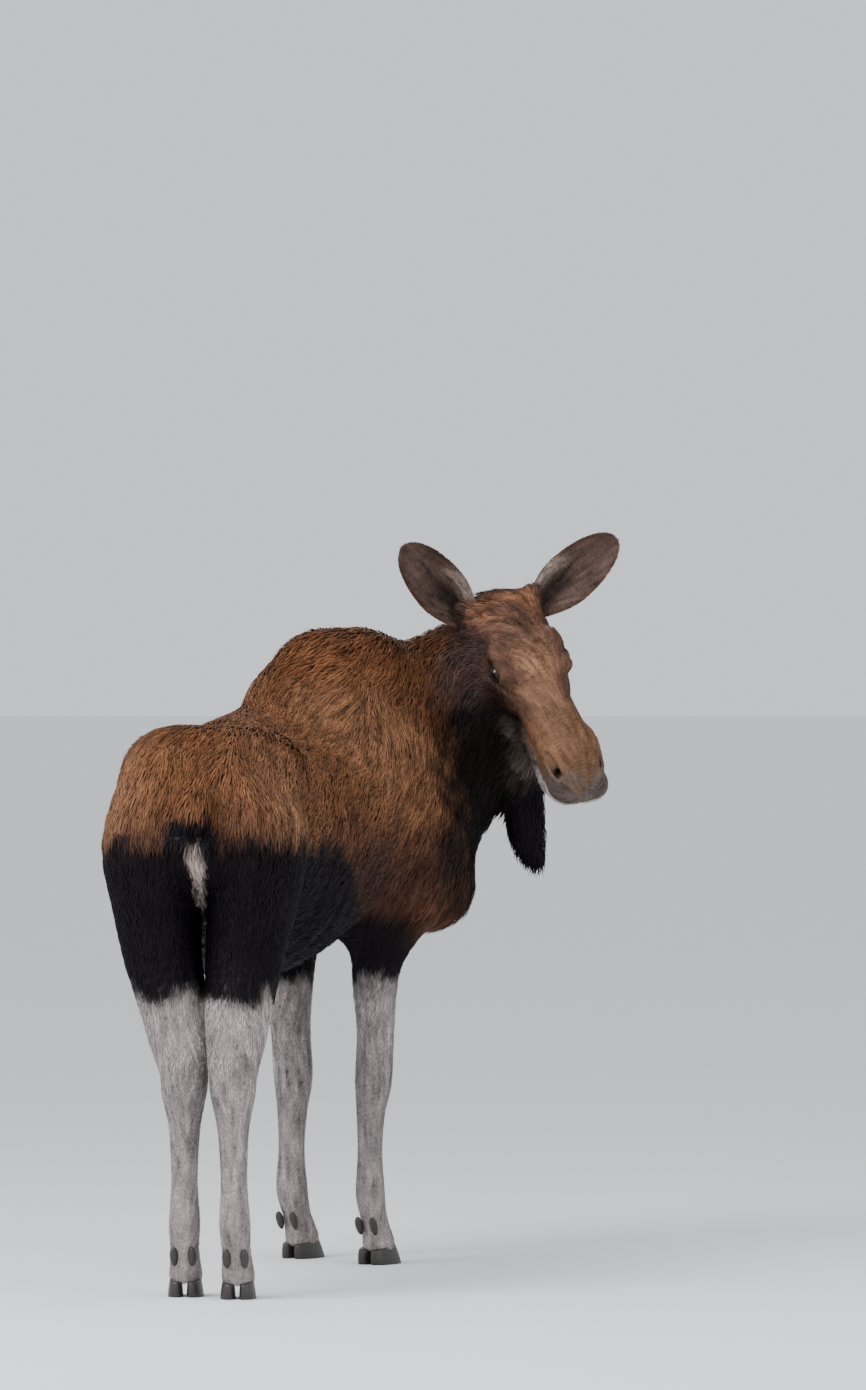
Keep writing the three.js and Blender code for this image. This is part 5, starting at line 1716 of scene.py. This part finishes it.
@dataclass
class Coat:
    """Solid tufts over the skin.

    Each is a slender kite with a raised ridge: thin root, wide middle, fine tip. The stages say how
    light its root, its two sides, its ridge and its tip are, and how much lighter on light hair.
    """

    hide: Hide
    offset: Array
    cover: float = 3.7
    most: int = 48_000
    patch: float = 0.0015
    seed: int = 11
    # The root's stage is the darkest: painted shade, where the tufts shade one another at the skin.
    stages: tuple[tuple[float, float], ...] = (
        (0.62, 0.0),
        (0.88, 0.0),
        (0.88, 0.0),
        (0.98, 0.08),
        (1.08, 0.45),
    )

    # A tuft's form, in shares of its own length, width or height.
    MIDDLE_ALONG, TIP_ALONG, MIDDLE_UP, FOOT_DOWN = 0.42, 0.98, 0.90, 0.08
    RIDGE, CURL_IN_MIDDLE, STEEPEST = 0.17, 0.18, 0.50
    # How widely chance spreads its turn, roll and curl, and between what shares its measures lie.
    TURN, ROLL, CURL = 0.11, 0.18, 0.07
    LENGTHS, WIDTHS, HEIGHTS, DROPS = (0.72, 1.15), (0.75, 1.2), (0.30, 0.95), (0.25, 0.80)

    def roots(self, rng: np.random.Generator) -> tuple[Array, Array]:
        """Picks where the tufts grow.

        Args:
            rng: The source of chance.

        Returns:
            The triangle of each root, and its three shares of the triangle's corners.
        """
        hide = self.hide
        a, b, c = (hide.points[hide.triangles[:, k]] for k in range(3))
        area = np.linalg.norm(np.cross(b - a, c - a), axis=1) / 2
        length = hide.length[hide.triangles].mean(axis=1)
        growth = hide.growth[hide.triangles].mean(axis=1)
        each = 0.5 * length * self.width(length)
        wanted = area * growth * self.cover / each
        count = np.floor(wanted + rng.random(len(wanted))).astype(int)
        face = np.repeat(np.arange(len(area)), count)
        u, v = rng.random(len(face)), rng.random(len(face))
        over = u + v > 1
        u, v = np.where(over, 1 - u, u), np.where(over, 1 - v, v)
        return face, np.stack([1 - u - v, u, v], axis=1)

    @staticmethod
    def streaks(root: Array, lie: Array) -> Array:
        """Noise that runs in streaks along the hair, from about -1 to 1."""
        steps = np.linspace(-0.024, 0.024, 5)
        return sum(TONE(root + lie * step, 0.008) for step in steps) / math.sqrt(len(steps))

    @staticmethod
    def width(length: Array) -> Array:
        """How wide a tuft of some length is."""
        return 0.0008 + 0.070 * length

    def build(self) -> list[bpy.types.Object]:
        """Makes the tufts, chart by chart."""
        rng = np.random.default_rng(self.seed)
        face, share = self.roots(rng)
        first = self.hide.triangles[face, share.argmax(axis=1)]
        chart = self.hide.chart[first]
        made = []
        for number, kind in enumerate(Chart):
            here = np.flatnonzero(chart == number)
            LOG.info("%s: %d tufts", kind.value, len(here))
            if len(here) > self.most:
                here = np.sort(rng.choice(here, self.most, replace=False))
            if len(here):
                made.append(self.piece(kind, face[here], share[here], first[here], rng))
        return made

    def piece(
        self,
        kind: Chart,
        face: Array,
        share: Array,
        first: Array,
        rng: np.random.Generator,
    ) -> bpy.types.Object:
        """Makes one chart's tufts.

        Args:
            kind: The chart.
            face: The triangle of each root.
            share: Its place in the triangle.
            first: The corner nearest to it.
            rng: The source of chance.

        Returns:
            The piece.
        """
        hide, count = self.hide, len(face)
        corners, wide_share = hide.triangles[face], share[..., None]
        rows = (hide.points, hide.normals, hide.lie, hide.colour)
        root, normal, lie, colour = ((values[corners] * wide_share).sum(axis=1) for values in rows)
        normal = unit(normal)
        length, depth = ((values[corners] * share).sum(axis=1) for values in (hide.length, hide.depth))
        lie = lie - normal * (lie * normal).sum(axis=1, keepdims=True)
        side = np.cross(normal, unit(lie))
        yaw = rng.normal(0, self.TURN, count)
        lie = unit(unit(lie) * np.cos(yaw)[:, None] + side * np.sin(yaw)[:, None])
        side = np.cross(normal, lie)
        roll = rng.normal(0, self.ROLL, count)
        over = normal * np.cos(roll)[:, None] + side * np.sin(roll)[:, None]
        side = np.cross(over, lie)
        length = length * rng.uniform(*self.LENGTHS, count)
        width = self.width(length) * rng.uniform(*self.WIDTHS, count)
        height = np.minimum(depth * rng.uniform(*self.HEIGHTS, count), length * self.STEEPEST)
        drop = rng.uniform(*self.DROPS, count) + smooth(depth, 0.014, 0.022) * 0.2
        curl = rng.normal(0, self.CURL, count) * length
        middle = root + lie * (length * self.MIDDLE_ALONG)[:, None]
        middle = middle + normal * (height * self.MIDDLE_UP)[:, None]
        middle = middle + side * (curl * self.CURL_IN_MIDDLE)[:, None]
        half = side * (width / 2)[:, None]
        ridge = middle + over * (width * self.RIDGE)[:, None]
        tip = root + lie * (length * self.TIP_ALONG)[:, None] + normal * (height * drop)[:, None]
        tip = tip + side * curl[:, None]
        foot = root - normal * (height * self.FOOT_DOWN)[:, None]
        points = np.stack([foot, middle - half, middle + half, ridge, tip], axis=1).reshape(-1, 3)
        kite = np.array([[0, 1, 3], [0, 3, 2], [1, 4, 3], [3, 4, 2]])
        faces = (kite + (np.arange(count) * 5)[:, None, None]).reshape(-1, 3)
        lock = 1 + 0.62 * self.streaks(root, lie) + 0.14 * TONE(root + 4.1, 0.045)
        tone = (lock * np.exp(rng.normal(0, 0.09, count)))[:, None]
        tone = tone * (1 + 0.03 * rng.normal(0, 1, (count, 3)))
        bright = smooth(colour.mean(axis=1), 0.010, 0.040)[:, None]
        stages = [colour * tone * light * (1 + more * bright) for light, more in self.stages]
        colours = np.clip(np.stack(stages, axis=1).reshape(-1, 3), 0, 1)
        made = mesh_object(kind.value, points + self.offset, faces, colours)
        self.lay_out(made, hide.unwrap[first])
        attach(made, "root")
        return made

    def lay_out(self, made: bpy.types.Object, spot: Array) -> None:
        """Gives each tuft a small patch of the flat map, at its root's place.

        Args:
            made: The tufts, with five points each.
            spot: Where each tuft's root is on the map.
        """
        across = np.array([0, -1, 1, 0, 0]) * self.patch
        down = np.array([-1, 0, 0, 0, 1]) * self.patch
        patch = spot[:, None] + np.stack([across, down], axis=1)[None]
        corners = np.empty(len(made.data.loops), np.int32)
        made.data.loops.foreach_get("vertex_index", corners)
        layer = made.data.uv_layers.new(name="OFBake")
        layer.data.foreach_set("uv", patch.reshape(-1, 2)[corners].astype(np.float32).ravel())


# ------------------------------------------------------------------ horn and eyes


@dataclass
class Hooves:
    """The two hooves and the two dewclaws of one foot."""

    leg: Leg
    offset: Array
    length: float = 0.118
    width: float = 0.046
    height: float = 0.062
    splay: float = math.radians(5)
    gap: float = 0.002
    ahead: float = 0.042
    corners: int = 40
    claw_reach: tuple[float, float, float] = (0.013, 0.012, 0.027)
    claw_place: tuple[float, float, float] = (-0.028, 0.024, 0.108)
    claw_tilt: float = 0.35
    claw_rows: int = 12
    claw_columns: int = 20

    @property
    def name(self) -> str:
        """The foot's name in the names of its nodes."""
        return self.leg.part.name.lower()

    def place(self, x: Array, y: Array, z: Array, along: float, out: float, turn: float) -> Array:
        """Carries points of one toe into the model.

        Args:
            x: To the right of the toe's middle.
            y: Ahead of it.
            z: The height.
            along: Where the toe is along the spine.
            out: Where it is to the right of the spine.
            turn: How far it is turned to the right.

        Returns:
            The points.
        """
        heading = POSTURE.pelvis_heading if self.leg.hind else POSTURE.chest_heading
        x, y = x * math.cos(turn) + y * math.sin(turn), y * math.cos(turn) - x * math.sin(turn)
        at = POSTURE.body_point(np.array([[along, out, 0.0]]))[0]
        flat = at + x[:, None] * POSTURE.rightward(heading) + y[:, None] * POSTURE.ahead(heading)
        return flat + z[:, None] * np.array([0, 0, 1.0])

    def toe(self, outward: int) -> tuple[Array, Array, Array]:
        """One hoof, with its growth rings.

        Args:
            outward: 1 for the toe whose outer side is to the right, -1 for the other.

        Returns:
            Its points, its faces, and how light each point is.
        """
        turn = np.linspace(0, 2 * math.pi, self.corners, endpoint=False)
        sine, cosine = np.sin(turn), np.cos(turn)
        flat = np.where(sine * outward > 0, 1.0, 0.72)
        rings, light = [], []
        rows = [(0.90, 0.0, 0.0), (0.985, 0.0, 0.0), (1.0, 0.002, 0.04)]
        rows += [(1.0 - 0.05 * t - 0.19 * t**1.6, 0.13 * t, t) for t in np.linspace(0.12, 1.0, 14)]
        for number, (size, back, t) in enumerate(rows):
            ripple = 1 + 0.008 * math.sin(t * 31) * (t > 0.06)
            x = self.width / 2 * size * ripple * flat * sine * (1 - 0.3 * cosine)
            y = self.length * (0.5 * size * ripple * cosine - back)
            z = self.height * t * (0.8 + 0.2 * cosine)
            rings.append(np.stack([x, y, z], axis=1))
            light.append(np.full(self.corners, 0.7 + 0.5 * t + 0.15 * math.sin(number * 2.1)))
        sole, crown = np.zeros((1, 3)), np.array([[0, -0.13 * self.length, self.height * 0.8]])
        points = np.concatenate([*rings, sole, crown])
        last = len(rows) * self.corners
        walls = band_faces(len(rows), self.corners)
        ring = np.arange(self.corners)
        after = np.roll(ring, -1)
        bottom = np.stack([np.full(self.corners, last), after, ring], axis=1)
        ring, after = ring + last - self.corners, after + last - self.corners
        top = np.stack([np.full(self.corners, last + 1), ring, after], axis=1)
        faces = np.concatenate([halves(walls), bottom, top])
        return points, faces, np.concatenate([*light, [0.6, 0.6]])

    def claw(self) -> tuple[Array, Array, Array]:
        """One dewclaw: a blunt horn cap that points down and back."""
        rows, columns, tilt, blunt = self.claw_rows, self.claw_columns, self.claw_tilt, 0.02
        wide, thick, tall = self.claw_reach
        turn = np.linspace(0, 2 * math.pi, columns, endpoint=False)
        rings = []
        for lean in np.linspace(blunt, math.pi - blunt, rows):
            narrow = 1 - 0.25 * (lean / math.pi)
            x = wide * math.sin(lean) * narrow * np.cos(turn)
            y = thick * math.sin(lean) * narrow * np.sin(turn)
            rings.append(np.stack([x, y, np.full(columns, tall * math.cos(lean))], axis=1))
        points = np.concatenate(rings)
        y, z = points[:, 1].copy(), points[:, 2].copy()
        points[:, 1] = y * math.cos(tilt) - z * math.sin(tilt)
        points[:, 2] = y * math.sin(tilt) + z * math.cos(tilt)
        index = np.arange(len(points)).reshape(rows, columns)
        ends = [index[0, ::-1], index[-1]]
        fans = [np.stack([np.full(columns - 2, e[0]), e[1:-1], e[2:]], axis=1) for e in ends]
        faces = np.concatenate([halves(band_faces(rows, columns)), *fans])
        return points, faces, np.ones(len(points))

    def build(self) -> bpy.types.Object:
        """Makes the foot's horn."""
        points, faces, light, start = [], [], [], 0
        foot, right = self.leg.foot * MM, self.leg.right * MM
        claw_ahead, claw_out, claw_up = self.claw_place
        for outward in (1, -1):
            side = self.leg.side * outward
            toe_out = right + side * (self.width + self.gap) / 2
            for made, along, out, turn, up in (
                (self.toe(side), foot + self.ahead, toe_out, side * self.splay, 0.0),
                (self.claw(), foot + claw_ahead, right + side * claw_out, 0.0, claw_up),
            ):
                p, f, lightness = made
                p = self.place(p[:, 0], p[:, 1], p[:, 2] + up, along, out, turn)
                points.append(p)
                faces.append(turned_out(p, f) + start)
                light.append(lightness)
                start += len(p)
        grey = np.concatenate(light)[:, None] * HORN_GREY
        made = mesh_object("horn_" + self.name, np.concatenate(points) + self.offset, faces, grey)
        kinds, toes = ("hoof", "dewclaw"), ("outer", "inner")
        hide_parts(*(f"{kind}_{self.name}_{toe}" for kind in kinds for toe in toes))
        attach(made, "root")
        return made


@dataclass
class Eyeball:
    """A glossy eye with a brown iris and a wide, level pupil."""

    eye: Eye
    offset: Array
    rows: int = 48
    columns: int = 72

    def build(self) -> bpy.types.Object:
        """Makes the ball."""
        lean = np.repeat(np.linspace(0, math.pi, self.rows), self.columns)
        turn = np.tile(np.linspace(0, 2 * math.pi, self.columns, endpoint=False), self.rows)
        out = self.eye.around(turn, lean)
        bulge = 1 + 0.035 * np.clip(1 - lean / 0.75, 0, 1) ** 1.5
        points = self.eye.centre + out * (self.eye.radius * bulge)[:, None]
        quads = band_faces(self.rows, self.columns)
        if self.eye.side < 0:
            quads = quads[:, ::-1]
        wide = np.hypot(np.cos(turn) * lean / 0.42, np.sin(turn) * lean / 0.24)
        iris = mix(IRIS, IRIS_RIM, smooth(lean, 0.50, 0.80))
        colour = mix(PUPIL, iris, smooth(wide, 0.85, 1.15))
        name = "right" if self.eye.side > 0 else "left"
        made = mesh_object("eyeball_" + name, POSTURE.head_point(points) + self.offset, quads, colour)
        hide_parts("eye_" + name)
        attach(made, "root")
        return made


# ------------------------------------------------------------------ finishes


def put(node: bpy.types.Node, **values: float | tuple[float, ...]) -> None:
    """Sets inputs of a node.

    Args:
        node: The node.
        values: The value of each input, under its name in small letters with low lines for spaces.
    """
    inputs = {socket.name.lower().replace(" ", "_"): socket for socket in node.inputs if socket.enabled}
    for name, value in values.items():
        inputs[name].default_value = value


@dataclass(frozen=True)
class Finish:
    """A surface: its pattern in colour and height, and how it shines."""

    name: str
    grain: float
    uneven: float
    roughness: float
    bump: float
    gloss: float = 0.5
    coat: float = 0.0
    stretch: tuple[float, float, float] = (1, 1, 1)

    def material(self) -> bpy.types.Material:
        """Builds the node material."""
        made = bpy.data.materials.new(self.name)
        made.use_nodes = True
        tree = made.node_tree
        nodes, links = tree.nodes, tree.links
        shader = nodes["Principled BSDF"]
        put(shader, roughness=self.roughness, specular_ior_level=self.gloss)
        put(shader, coat_weight=self.coat, coat_roughness=0.03)
        place = nodes.new("ShaderNodeTexCoord")
        spread = nodes.new("ShaderNodeMapping")
        put(spread, scale=self.stretch)
        links.new(place.outputs["Object"], spread.inputs["Vector"])
        grain = nodes.new("ShaderNodeTexNoise")
        put(grain, scale=self.grain, detail=5)
        links.new(spread.outputs["Vector"], grain.inputs["Vector"])
        tint = nodes.new("ShaderNodeAttribute")
        tint.attribute_name = "pelt"
        level = nodes.new("ShaderNodeMapRange")
        put(level, from_min=0.3, from_max=0.7, to_min=1 - self.uneven, to_max=1 + self.uneven)
        links.new(grain.outputs["Fac"], level.inputs["Value"])
        blend = nodes.new("ShaderNodeVectorMath")
        blend.operation = "SCALE"
        links.new(tint.outputs["Color"], blend.inputs[0])
        links.new(level.outputs["Result"], blend.inputs["Scale"])
        links.new(blend.outputs["Vector"], shader.inputs["Base Color"])
        if self.bump:
            bump = nodes.new("ShaderNodeBump")
            put(bump, strength=0.5, distance=self.bump)
            links.new(grain.outputs["Fac"], bump.inputs["Height"])
            links.new(bump.outputs["Normal"], shader.inputs["Normal"])
        return made


COAT_FINISH = Finish("coat_hair", grain=70, uneven=0.08, roughness=0.60, bump=0.0, gloss=0.08)
SKIN_FINISH = Finish("hide", grain=420, uneven=0.20, roughness=0.62, bump=0.0009, gloss=0.25)
HORN_FINISH = Finish("horn", grain=90, uneven=0.3, roughness=0.45, bump=0.0006, stretch=(1, 1, 5))
EYE_FINISH = Finish("eye", grain=600, uneven=0.2, roughness=0.20, bump=0.0, gloss=0.4, coat=0.25)


def dress(made: bpy.types.Object, material: bpy.types.Material) -> None:
    """Gives a piece its material."""
    made.data.materials.clear()
    made.data.materials.append(material)


# ------------------------------------------------------------------ the studio


@dataclass
class Studio:
    """A pale floor, soft light, and the camera, whose lens is as long as some widths of its picture."""

    offset: Array
    camera_at: tuple[float, float, float] = (-4.3275, 19.536, 1.625)
    look: tuple[float, float, float] = (0.18567, -0.98261, 0.0)
    pitch: float = math.radians(-0.127)
    sensor: float = 36.0
    focal_widths: float = 7680 / 866

    def floor(self) -> None:
        """A wide pale floor."""
        side = 300.0
        points = np.array([[-side, -side, 0], [side, -side, 0], [side, side, 0], [-side, side, 0]])
        made = mesh_object("floor", points, np.array([[0, 1, 2, 3]]))
        material = bpy.data.materials.new("floor")
        material.use_nodes = True
        shader = material.node_tree.nodes["Principled BSDF"]
        put(shader, base_color=(0.82, 0.83, 0.85, 1), roughness=0.9)
        dress(made, material)

    def lamp(self, name: str, at: tuple[float, float, float], size: float, power: float) -> None:
        """A square soft lamp that faces the animal.

        Args:
            name: Its name.
            at: Its place in the model.
            size: The length of its side.
            power: Its light in watts.
        """
        data = bpy.data.lights.new(name, "AREA")
        data.size, data.energy = size, power
        made = bpy.data.objects.new(name, data)
        place = Vector(at)
        made.matrix_world = Matrix.Translation(place) @ (
            (Vector((0, 0, 1.2)) - place).to_track_quat("-Z", "Y").to_matrix().to_4x4()
        )
        bpy.context.scene.collection.objects.link(made)

    def light(self) -> None:
        """The sky's even light, and two soft lamps."""
        world = bpy.data.worlds.new("studio")
        bpy.context.scene.world = world
        world.use_nodes = True
        sky = world.node_tree.nodes["Background"]
        put(sky, color=(0.93, 0.96, 1.0, 1), strength=0.95)
        self.lamp("key", (3.2, 4.4, 5.6), 4.0, 560)
        self.lamp("fill", (-5.0, 3.0, 3.2), 4.0, 140)

    def camera(self) -> None:
        """The camera, far off and level with the back."""
        data = bpy.data.cameras.new("camera")
        data.sensor_fit = "HORIZONTAL"
        data.sensor_width = self.sensor
        data.lens = self.focal_widths * self.sensor
        data.clip_end = 1000
        made = bpy.data.objects.new("camera", data)
        flat = Vector(self.look).normalized()
        look = flat * math.cos(self.pitch) + Vector((0, 0, 1)) * math.sin(self.pitch)
        at = Vector(self.camera_at) + Vector(self.offset)
        made.matrix_world = Matrix.Translation(at) @ look.to_track_quat("-Z", "Y").to_matrix().to_4x4()
        bpy.context.scene.collection.objects.link(made)
        bpy.context.scene.camera = made

    def build(self) -> None:
        """Sets it all up."""
        self.floor()
        self.light()
        self.camera()


# ------------------------------------------------------------------ the model

def middle_of(node: str) -> Array:
    """The middle of a node's box."""
    low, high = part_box(node)
    return (np.array(low) + np.array(high)) / 2


def main() -> None:
    """Builds the moose, logging the skin's size and the tufts in each piece of the coat."""
    logging.basicConfig(level=logging.INFO, format="%(name)s: %(message)s")
    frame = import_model()
    offset = middle_of("eye_right") - POSTURE.head_point(EYES[0].centre)
    offset[2] = 0.0
    LOG.info("offset: %s", offset)
    Studio(offset).build()
    skin = Skin(tuple(sorted(frame["nodes"])), offset=offset)
    hide = skin.grow()
    dress(skin.build(hide), SKIN_FINISH.material())
    hair = COAT_FINISH.material()
    for tufts in Coat(hide, offset).build():
        dress(tufts, hair)
    horn = HORN_FINISH.material()
    for leg in LEGS:
        dress(Hooves(leg, offset).build(), horn)
    gloss = EYE_FINISH.material()
    for eye in EYES:
        dress(Eyeball(eye, offset).build(), gloss)


if __name__ == "__main__":
    main()
